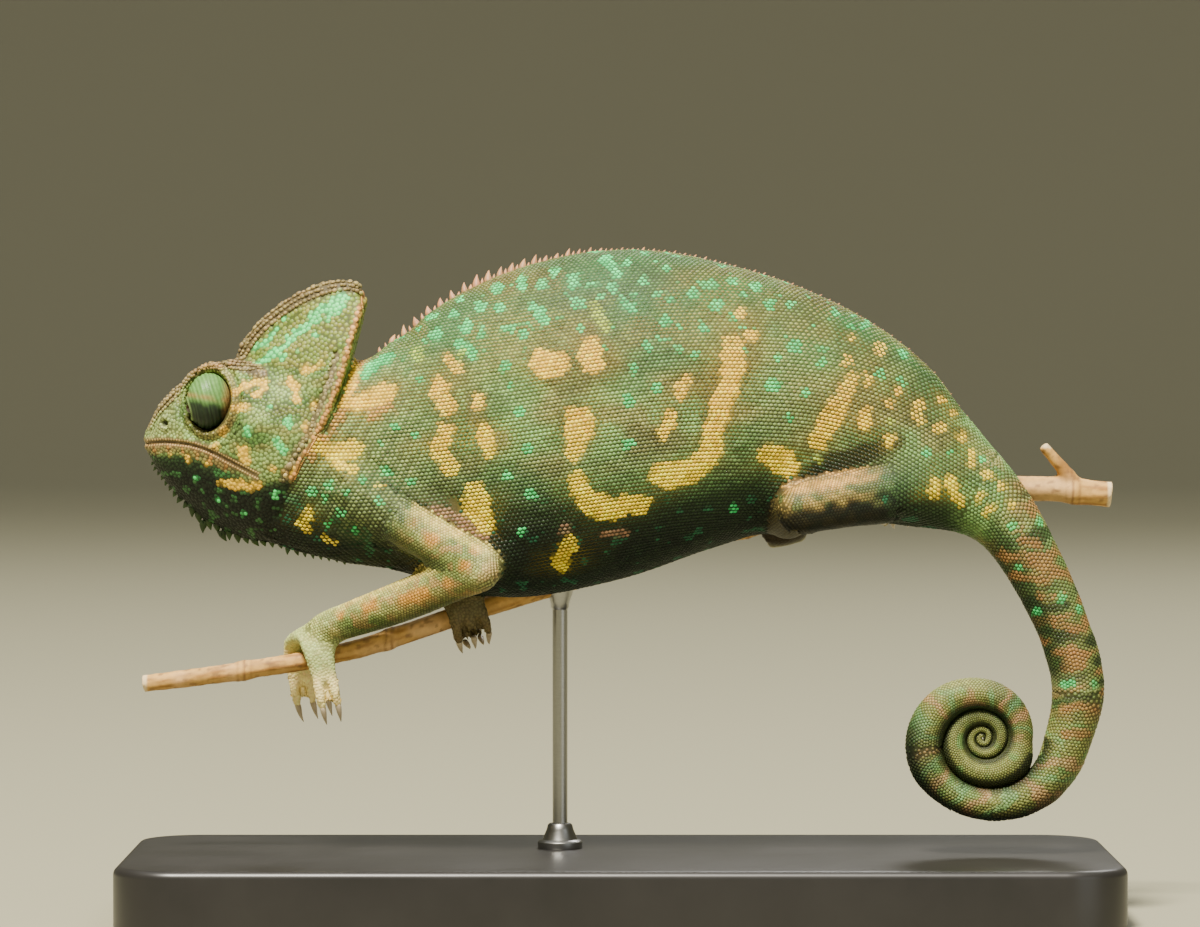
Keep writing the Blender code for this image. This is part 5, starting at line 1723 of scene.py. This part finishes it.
def finish_of(name, **constants):
    """A material, its Principled shader and a Value to start from, with constants on the shader's sockets."""
    material = bpy.data.materials.new(name)
    material.use_nodes = True
    shader = material.node_tree.nodes["Principled BSDF"]
    for key, value in constants.items():
        shader.inputs[key.replace("_", " ")].default_value = value
    return material, shader, Value(material.node_tree, None)


def grain(start, scale, detail, roughness=0.5, stretch=None):
    """Noise in the object's own metres, drawn out where stretch is given."""
    place = start.node("ShaderNodeTexCoord", output=3)
    if stretch:
        place = start.node("ShaderNodeMapping", {}, {"Vector": place, "Scale": stretch})
    settings = {"Vector": place, "Scale": scale, "Detail": detail, "Roughness": roughness}
    return start.node("ShaderNodeTexNoise", {}, settings)


def feed(start, shader, socket, value):
    start.tree.links.new(value.socket, shader.inputs[socket])


def colour4(c):
    return (float(c[0]), float(c[1]), float(c[2]), 1.0)


def two_tone(name, noise, colours, gloss=None, **constants):
    """A material of two colours mixed by noise, which also varies the gloss from its first value up."""
    material, shader, start = finish_of(name, **constants)
    share = grain(start, *noise)
    first, second = (colour4(linear(*colour)) for colour in colours)
    feed(start, shader, "Base Color", blended(start, "MIX", share, first, second))
    if gloss:
        feed(start, shader, "Roughness", gloss[0] + gloss[1] * share)
    return material


print("shader tools ready")

# %% Skin, scales, horn and eyes


def scaled_finish(name, roughness, grain_size, bump_strength, spread):
    """Pigment from the mesh, fine mottle, a grain of bump and a soft gloss that varies a little."""
    material, shader, start = finish_of(name, Specular_IOR_Level=0.30, IOR=1.45)
    pigment_here = start.node("ShaderNodeAttribute", {"attribute_name": "pigment"})
    mottle = grain(start, grain_size, 3.0, 0.6)
    shade = start.node("ShaderNodeMapRange", {}, {"Value": mottle, "From Min": 0.3, "From Max": 0.7,
                                                   "To Min": 1 - spread, "To Max": 1 + spread})
    grey = start.node("ShaderNodeCombineColor", {}, {0: shade, 1: shade, 2: shade})
    feed(start, shader, "Base Color", blended(start, "MULTIPLY", 1.0, pigment_here, grey))
    feed(start, shader, "Roughness", roughness + 0.16 * mottle)
    bump = start.node("ShaderNodeBump", {}, {"Height": mottle, "Strength": bump_strength, "Distance": 0.0002})
    feed(start, shader, "Normal", bump)
    return material


skin_finish = scaled_finish("skin", 0.50, 1600.0, 0.3, 0.15)
scale_finish = scaled_finish("scales", 0.36, 1100.0, 0.2, 0.12)
lid_finish = scaled_finish("eyelid skin", 0.34, 1500.0, 0.35, 0.12)
horn_finish = two_tone("claw horn", (900.0, 2.0), ((206, 190, 158), (150, 130, 100)), (0.28, 0.15),
                       Specular_IOR_Level=0.5)
wet_finish = two_tone("wet eye", (2500.0, 2.0), ((18, 12, 8), (58, 36, 16)), Roughness=0.05, Coat_Weight=1.0,
                      Coat_Roughness=0.02)
print("finishes:", skin_finish.name, scale_finish.name, lid_finish.name, horn_finish.name, wet_finish.name)

# %% The skin and the coat as pieces
piece("skin", skin_mesh, skin_finish, FLESH)


def gap_shade_of(roots):
    """Gaps of darker skin and painted shade: nearly black low on the flank and throat, lighter on back, legs,
    toes.
    """
    at = np.array([r.point[:] for r in roots])
    part = np.array([r.part for r in roots])
    gap = 0.10 + 0.06 * ease(at[:, 2], 78, 98)
    gap = np.where(np.isin(part, LIMB_PARTS), 0.34, gap)
    return np.where(np.isin(part, FOOT_PARTS), 0.72, gap)


def coat(name, roots, template, seed, **options):
    mesh = coat_mesh(name, roots, template, seed, **options)
    piece(name, mesh, scale_finish)
    print(f"{name}: {len(roots)} scales, {len(mesh.polygons)} triangles")


for k, (low, high) in enumerate(((-99, -22), (-22, 12), (12, 99))):
    chosen = [r for r in trunk_roots if low <= r.point.x < high]
    coat(f"coat_trunk_{k + 1}", chosen, SCALE, 30 + k, gap=gap_shade_of(chosen), squash=(1.10, 0.81, 1), vary=0.30)
for k, (low, high) in enumerate(((0.0, 0.4), (0.4, 1.1))):
    chosen = [r for r in tail_roots if low <= r.uv[0] < high]
    coat(f"coat_tail_{k + 1}", chosen, SCALE, 34 + k, gap=gap_shade_of(chosen))
coat("coat_legs", limb_roots, SCALE, 36, gap=gap_shade_of(limb_roots), squash=(1, 1, 0.62), vary=0.24)
coat("coat_feet", foot_roots, SCALE, 37, gap=gap_shade_of(foot_roots), squash=(1.05, 1.05, 0.5), vary=0.08)
coat("coat_head", head_roots, SCALE, 38, gap=0.42, squash=(1.04, 1.04, 0.52), vary=0.12)
coat("coat_lips", lips, SCALE, 39, gap=0.45, squash=(1.0, 0.92, 0.8))
coat("ridge_beads", bead_roots, BEAD, 40, gap=0.30, squash=(0.95, 0.84, 0.85), vary=0.32)
coat("back_crest", back_roots, SPINE, 41, gap=0.55, colour=linear(190, 140, 98), squash=(1.0, 0.62, 1.0))
coat("throat_crest", throat_roots, SPINE, 42, gap=0.5, colour=linear(52, 74, 36), squash=(1.3, 0.62, 1.0))

# %% [markdown]
# ## The eye turrets
#
# A chameleon's lids are fused into a cone that covers the whole eyeball but for a hole the size of the
# pupil. Fine folds run round that hole in rings. A uvsphere has its poles where the rings should close, so
# its pole is turned to where the eye looks, and the rings come from lifting and sinking whole rows.

# %% Turrets
GAZE = Vector((-0.93, 0.20, -0.30)).normalized()     # y counts outwards from the head
EYE_SIZE = Vector((4.2, 4.6, 5.28))
OPENING = 0.27                                       # radians from the pole to the lid's edge


def turret(side):
    """(mesh, polar angles, azimuths, centre, gaze) of one turret; side is -1 for the left eye."""
    bm = bmesh.new()
    bmesh.ops.create_uvsphere(bm, u_segments=96, v_segments=72, radius=1.0)
    gaze = Vector((GAZE.x, GAZE.y * side, GAZE.z))
    turn = gaze.to_track_quat("Z", "Y").to_matrix()
    centre = Vector((EYE.x, medial(EYE.x) + EYE.y * side, EYE.z))
    polar, azimuth = [], []
    for v in bm.verts:
        angle = math.acos(max(-1.0, min(1.0, v.co.z)))
        around = math.atan2(v.co.y, v.co.x)
        polar.append(angle)
        azimuth.append(around)
        rings = math.sin(angle * 34 + 0.8 * math.sin(around * 3)) * 0.010 + math.sin(angle * 15 + 1.3) * 0.010
        rings *= min(1, max(0, (2.3 - angle) * 2))
        rim = 0.035 * math.exp(-(((angle - OPENING - 0.10) / 0.09) ** 2))
        hole = -0.16 * max(0.0, min(1.0, (OPENING + 0.03 - angle) / 0.09))
        v.co = v.co * (0.985 + rings + rim + hole)
    for v in bm.verts:
        out = turn @ v.co
        v.co = (centre + Vector((out.x * EYE_SIZE.x, out.y * EYE_SIZE.y, out.z * EYE_SIZE.z))) * MM
    return mesh_of(bm, "turret", True), np.array(polar), np.array(azimuth), centre, gaze


for name, side in (("eye_left", -1), ("eye_right", 1)):
    mesh, polar, azimuth, centre, gaze = turret(side)
    co = coordinates(mesh)
    up = (co[:, 2] - centre.z) / EYE_SIZE.z
    lean = up + 0.12 * (co[:, 0] - centre.x) / EYE_SIZE.x
    ring_fold_shade = 0.5 + 0.5 * np.sin(polar * 34 + 0.8 * np.sin(azimuth * 3))
    wander = lattice_noise(co, 1.4, 61)
    streaky = lattice_noise(np.stack([polar * 16, azimuth * 1.6, azimuth * 0], axis=1), 1.0, 62)
    top = mix(linear(112, 158, 84), linear(92, 136, 70), 0.8 * ease(streaky, 0.3, 0.8))
    # The turret's lower half: partly its own dark colour, partly painted shade under the brow.
    low = mix(linear(36, 50, 34), linear(76, 102, 60), 0.4 * ease(streaky, 0.45, 0.85))
    band = np.exp(-((lean - 0.13) / 0.09) ** 2) * ease(wander, 0.2, 0.5)
    colour = layered(
        top,
        (low, ease(-0.02 - lean + 0.2 * (wander - 0.5), -0.12, 0.22)),
        (linear(170, 126, 78), 0.65 * band),
        (linear(190, 144, 92), 0.65 * ease(co[:, 0] - centre.x, 2.2, 3.8)),
        (linear(140, 168, 100), 0.8 * np.exp(-((polar - OPENING - 0.12) / 0.07) ** 2)),
    )
    # Painted shade in the troughs of the ring folds round the opening.
    colour = colour * (0.62 + 0.38 * ring_fold_shade)[:, None]
    colour = mix(colour, np.zeros(3) + 0.004, ease(OPENING + 0.02 - polar, 0, 0.05))
    paint(mesh, colour)
    piece(f"turret_{name[4:]}", mesh, lid_finish, [name])
    bm = bmesh.new()
    bmesh.ops.create_uvsphere(bm, u_segments=24, v_segments=16, radius=1.15 * MM)
    depth = Vector((gaze.x * EYE_SIZE.x, gaze.y * EYE_SIZE.y, gaze.z * EYE_SIZE.z)) * 0.80
    bmesh.ops.translate(bm, verts=bm.verts, vec=(centre + depth) * MM)
    piece(f"pupil_{name[4:]}", mesh_of(bm, "pupil", True), wet_finish)
print("eyes:", EYE_SIZE[:], "mm half axes, looking along", [round(c, 2) for c in GAZE])

# %% [markdown]
# ## Claws, perch and stand
#
# Each claw is swept along its solid's own curve, from inside the toe to a fine tip. The perch is a cut
# length of a thin branch: its solid is welded, remeshed finely, and given bark by moving its vertices with
# noise that is drawn out lengthwise, with a few swollen nodes where leaves once grew.

# %% The claws
CLAW_SIDES = 10
CLAW_ROOT = 1.1                 # how far a claw reaches back into its toe
CLAW_RADII = (0.50, 0.58, 0.56, 0.50, 0.40, 0.28, 0.16, 0.05)

bm = bmesh.new()
for node in CLAWS:
    root, middle, tip = claw_stations(node)
    buried = root + (root - middle).normalized() * CLAW_ROOT
    rows = [buried, root, middle, tip]
    path = [Vector(spline(rows, t * 3 / (len(CLAW_RADII) - 1))) for t in range(len(CLAW_RADII))]
    runs = [(b - a).normalized() for a, b in zip(path, path[1:])]
    runs.append(runs[-1])
    turn = runs[0].to_track_quat("Z", "Y").to_matrix().to_4x4()
    edges = first_ring(bm, CLAW_SIDES, CLAW_RADII[0] * MM, Matrix.Translation(path[0] * MM) @ turn)
    for k in range(1, len(path)):
        swing = runs[k - 1].rotation_difference(runs[k]).to_matrix().to_4x4()
        swing = swing @ Matrix.Scale(CLAW_RADII[k] / CLAW_RADII[k - 1], 4)
        move = Matrix.Translation(path[k] * MM) @ swing @ Matrix.Translation(-path[k - 1] * MM)
        edges = next_ring(bm, edges, move)
    bmesh.ops.contextual_create(bm, geom=edges)
bmesh.ops.recalc_face_normals(bm, faces=bm.faces[:])
claw_mesh = mesh_of(bm, "claws", True)
piece("claws", claw_mesh, horn_finish, CLAWS)
print("claws:", len(claw_mesh.polygons), "faces")

# %% The perch
PERCH_LINE = [(-89, 3.5, 42.2), (-74, 2.6, 44.1), (-60, 2.4, 46.3), (-50, 2.8, 48.4), (-40, 3.8, 51.5),
              (-30, 5.2, 55.0), (-20, 7.0, 58.0), (-10, 8.6, 61.0), (0, 9.6, 64.0), (10, 9.9, 67.3),
              (20, 9.9, 70.4), (30, 9.7, 72.9), (40, 9.4, 75.0), (50, 9.0, 76.6), (60, 8.4, 77.8),
              (70, 7.6, 78.6), (80, 6.6, 78.6), (92, 6.0, 77.4)]
NODES_OF_PERCH = (-70.0, -43.0, -4.0, 24.0, 68.0, 85.0)
perch_bm = welded("perch")
bmesh.ops.recalc_face_normals(perch_bm, faces=perch_bm.faces[:])
perch_mesh = remeshed(mesh_of(perch_bm, "perch"), 0.42)
perch_co = coordinates(perch_mesh)
perch_ends = edge_ends(perch_mesh)
cut_end = (perch_co[:, 0] < -88.2) | (perch_co[:, 0] > 91.0) | (perch_co[:, 2] > 86.2)
for _ in range(10):
    perch_co += 0.55 * (~cut_end)[:, None] * (neighbour_mean(perch_co, perch_ends, len(perch_co)) - perch_co)
set_coordinates(perch_mesh, perch_co)
perch_normal = vertex_normals(perch_mesh)
perch_x, perch_y, perch_z = zip(*PERCH_LINE)
middle_y = np.interp(perch_co[:, 0], perch_x, perch_y)
middle_z = np.interp(perch_co[:, 0], perch_x, perch_z)
around = np.arctan2(perch_co[:, 2] - middle_z, perch_co[:, 1] - middle_y)
drawn_out = np.stack([perch_co[:, 0] * 0.16, np.cos(around) * 1.6, np.sin(around) * 1.6], axis=1)
furrow = lattice_noise(drawn_out, 0.55, 71)
lump = lattice_noise(perch_co, 5.0, 72)
node_ring = sum(np.exp(-(((perch_co[:, 0] - x) / 1.3) ** 2)) for x in NODES_OF_PERCH)
wrinkle = np.sin(perch_co[:, 0] * 5.0) * node_ring
lift = 0.13 + 0.16 * (lump - 0.5) + 0.12 * (furrow - 0.5) + 0.28 * node_ring + 0.04 * wrinkle
end_reach = np.minimum(np.abs(perch_co[:, 0] + 89), np.abs(perch_co[:, 0] - 92))
perch_co += perch_normal * (lift * np.clip(end_reach - 0.6, 0, 1))[:, None] * (~cut_end)[:, None]
set_coordinates(perch_mesh, perch_co)
perch_mesh.shade_smooth()
scarred = np.clip(node_ring, 0, 1) * ease(np.sin(perch_co[:, 0] * 5.0), 0, 1)
bark = layered(
    linear(206, 160, 88),
    (linear(162, 116, 58), ease(furrow, 0.4, 0.8)),
    (linear(214, 172, 116), 0.7 * ease(lump, 0.5, 0.8)),
    (linear(122, 84, 52), 0.8 * scarred),
    (linear(120, 88, 60), 0.6 * ease(lattice_noise(perch_co, 0.9, 73), 0.66, 0.8)),
    (linear(222, 196, 150), cut_end.astype(float)),
)
paint(perch_mesh, bark)
bark_finish = scaled_finish("bark", 0.55, 700.0, 0.5, 0.14)
piece("branch", perch_mesh, bark_finish, ["perch"])
print("perch:", len(perch_mesh.polygons), "faces")

# %% [markdown]
# The stand is what a museum would use: a dark satin board, a turned metal ferrule, a thin brushed rod and a
# small saddle under the branch. It should be quiet, so its finishes are plain.

# %% Stand finishes
board_finish = two_tone("stand board", (60.0, 5.0, 0.6), ((30, 29, 28), (46, 44, 42)), (0.30, 0.18),
                        Specular_IOR_Level=0.4, Coat_Weight=0.25, Coat_Roughness=0.3)
steel_finish = two_tone("brushed steel", (900.0, 3.0, 0.5, (1.0, 1.0, 30.0)),
                        ((176, 176, 172), (140, 140, 138)), (0.22, 0.2), Metallic=1.0)
print("stand finishes:", board_finish.name, "and", steel_finish.name)

# %% The board, and the turned post in one piece
BOARD_CORNER = 12.0
BOARD_EDGE = 1.5
POST_SIDES = 48
base_low, base_high = (Vector(corner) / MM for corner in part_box("stand_base"))
bm = bmesh.new()
bmesh.ops.create_cube(bm, size=1.0, matrix=Matrix.Translation((base_low + base_high) / 2 * MM)
                      @ Matrix.Diagonal((*((base_high - base_low) * MM), 1.0)))
upright = [e for e in bm.edges if abs(e.verts[0].co.z - e.verts[1].co.z) > MM]
bmesh.ops.bevel(bm, geom=upright, offset=BOARD_CORNER * MM, segments=18, profile=0.5, affect="EDGES",
                material=-1)
top = [e for e in bm.edges if all(v.co.z > (base_high.z - 0.1) * MM for v in e.verts)]
bmesh.ops.bevel(bm, geom=top, offset=BOARD_EDGE * MM, segments=5, profile=0.5, affect="EDGES", material=-1)
board_mesh = mesh_of(bm, "board", True)
board_mesh.set_sharp_from_angle(angle=math.radians(40))
piece("stand_board", board_mesh, board_finish, ["stand_base"])

rod_low, rod_high = (Vector(corner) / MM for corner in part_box("stand_rod"))
ferrule_low, ferrule_high = (Vector(corner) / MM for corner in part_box("stand_ferrule"))
cup_low, cup_high = (Vector(corner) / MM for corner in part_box("stand_saddle"))
rod, ferrule, cup = ((high.x - low.x) / 2 for low, high in
                     ((rod_low, rod_high), (ferrule_low, ferrule_high), (cup_low, cup_high)))
profile = [(ferrule - 0.3, base_high.z - 0.3), (ferrule, base_high.z + 0.2), (ferrule, base_high.z + 1.2),
           (ferrule - 0.25, base_high.z + 1.5), (ferrule - 0.9, base_high.z + 1.7),
           (rod + 1.1, base_high.z + 3.6), (rod + 0.9, base_high.z + 4.4), (rod + 0.6, base_high.z + 4.7),
           (rod, base_high.z + 4.8),
           (rod, cup_low.z + 0.2), (rod + 0.25, cup_low.z + 0.5), (cup - 0.7, cup_low.z + 1.6),
           (cup - 0.1, cup_high.z - 1.2), (cup, cup_high.z - 0.3), (cup - 0.3, cup_high.z)]
bm = bmesh.new()
closed = [(0, profile[0][1]), *profile, (0, profile[-1][1] - 0.6)]
verts = [bm.verts.new((r * MM, 0, z * MM)) for r, z in closed]
edges = [bm.edges.new(pair) for pair in zip(verts, verts[1:])]
bmesh.ops.spin(bm, geom=verts + edges, cent=(0, 0, 0), axis=(0, 0, 1), angle=2 * math.pi, steps=POST_SIDES,
               use_merge=True)
bmesh.ops.remove_doubles(bm, verts=bm.verts, dist=1e-6)
rod_middle = (rod_low + rod_high) / 2
bmesh.ops.translate(bm, verts=bm.verts, vec=(rod_middle.x * MM, rod_middle.y * MM, 0))
bmesh.ops.recalc_face_normals(bm, faces=bm.faces[:])
post_mesh = mesh_of(bm, "post", True)
post_mesh.set_sharp_from_angle(angle=math.radians(35))
piece("stand_post", post_mesh, steel_finish,
      ["stand_ferrule", "stand_rod", "stand_saddle"])
print("stand:", len(board_mesh.polygons), "faces in the board,", len(post_mesh.polygons), "in the post")

# %% [markdown]
# ## Floor and light
#
# The floor sweeps up into a far wall in one curve, so the studio has no horizon line. A large soft lamp high
# on the left makes the main light, a wide dim one fills from the right, and a pale world lifts the rest.

# %% The cove
COVE_FLOOR = 3.2
COVE_SWEEP = 2.6
COVE_TOP = 6.5
COVE_SINK = 0.0002              # the floor lies a fifth of a millimetre under the stand
COVE_STEPS = 16
profile = [(0, -COVE_SINK), (COVE_FLOOR, -COVE_SINK)]
for k in range(1, COVE_STEPS + 1):
    a = math.pi / 2 * k / COVE_STEPS
    profile.append((COVE_FLOOR + COVE_SWEEP * math.sin(a), COVE_SWEEP * (1 - math.cos(a)) - COVE_SINK))
profile.append((COVE_FLOOR + COVE_SWEEP, COVE_TOP))
bm = bmesh.new()
verts = [bm.verts.new((reach, 0, z)) for reach, z in profile]
edges = [bm.edges.new(pair) for pair in zip(verts, verts[1:])]
bmesh.ops.spin(bm, geom=edges + bm.verts[:], cent=(0, 0, 0), axis=(0, 0, 1), angle=2 * math.pi, steps=96,
               use_merge=True)
bmesh.ops.remove_doubles(bm, verts=bm.verts, dist=1e-5)
cove_mesh = mesh_of(bm, "cove", True)
cove = placed("cove", cove_mesh)
floor_finish, _, _ = finish_of("studio floor", Roughness=0.85, Base_Color=colour4(linear(150, 147, 122)))
cove_mesh.materials.append(floor_finish)
print("cove:", len(cove_mesh.polygons), "faces")

# %% Lamps


def soft_lamp(name, place, aim, size, watts, colour):
    data = bpy.data.lights.new(name, "AREA")
    data.shape = "RECTANGLE"
    data.size, data.size_y = size
    data.energy = watts
    data.color = colour
    lamp = placed(name, data)
    lamp.location = place
    lamp.rotation_euler = (Vector(aim) - Vector(place)).to_track_quat("-Z", "Y").to_euler()


soft_lamp("key", (-0.35, -0.85, 1.75), (0, 0, 0.08), (0.42, 0.42), 122.0, (1.0, 0.94, 0.82))
soft_lamp("fill", (1.3, -1.4, 0.5), (0, 0, 0.08), (1.2, 1.0), 6.0, (0.92, 0.96, 1.0))
soft_lamp("rim", (0.4, 1.3, 1.2), (0, 0, 0.09), (0.8, 0.5), 12.0, (1.0, 0.98, 0.94))
world = bpy.data.worlds.new("studio")
world.use_nodes = True
world.node_tree.nodes["Background"].inputs["Color"].default_value = (0.84, 0.86, 0.84, 1)
world.node_tree.nodes["Background"].inputs["Strength"].default_value = 0.60
bpy.context.scene.world = world
print("lamps: key, fill, rim and a pale world")
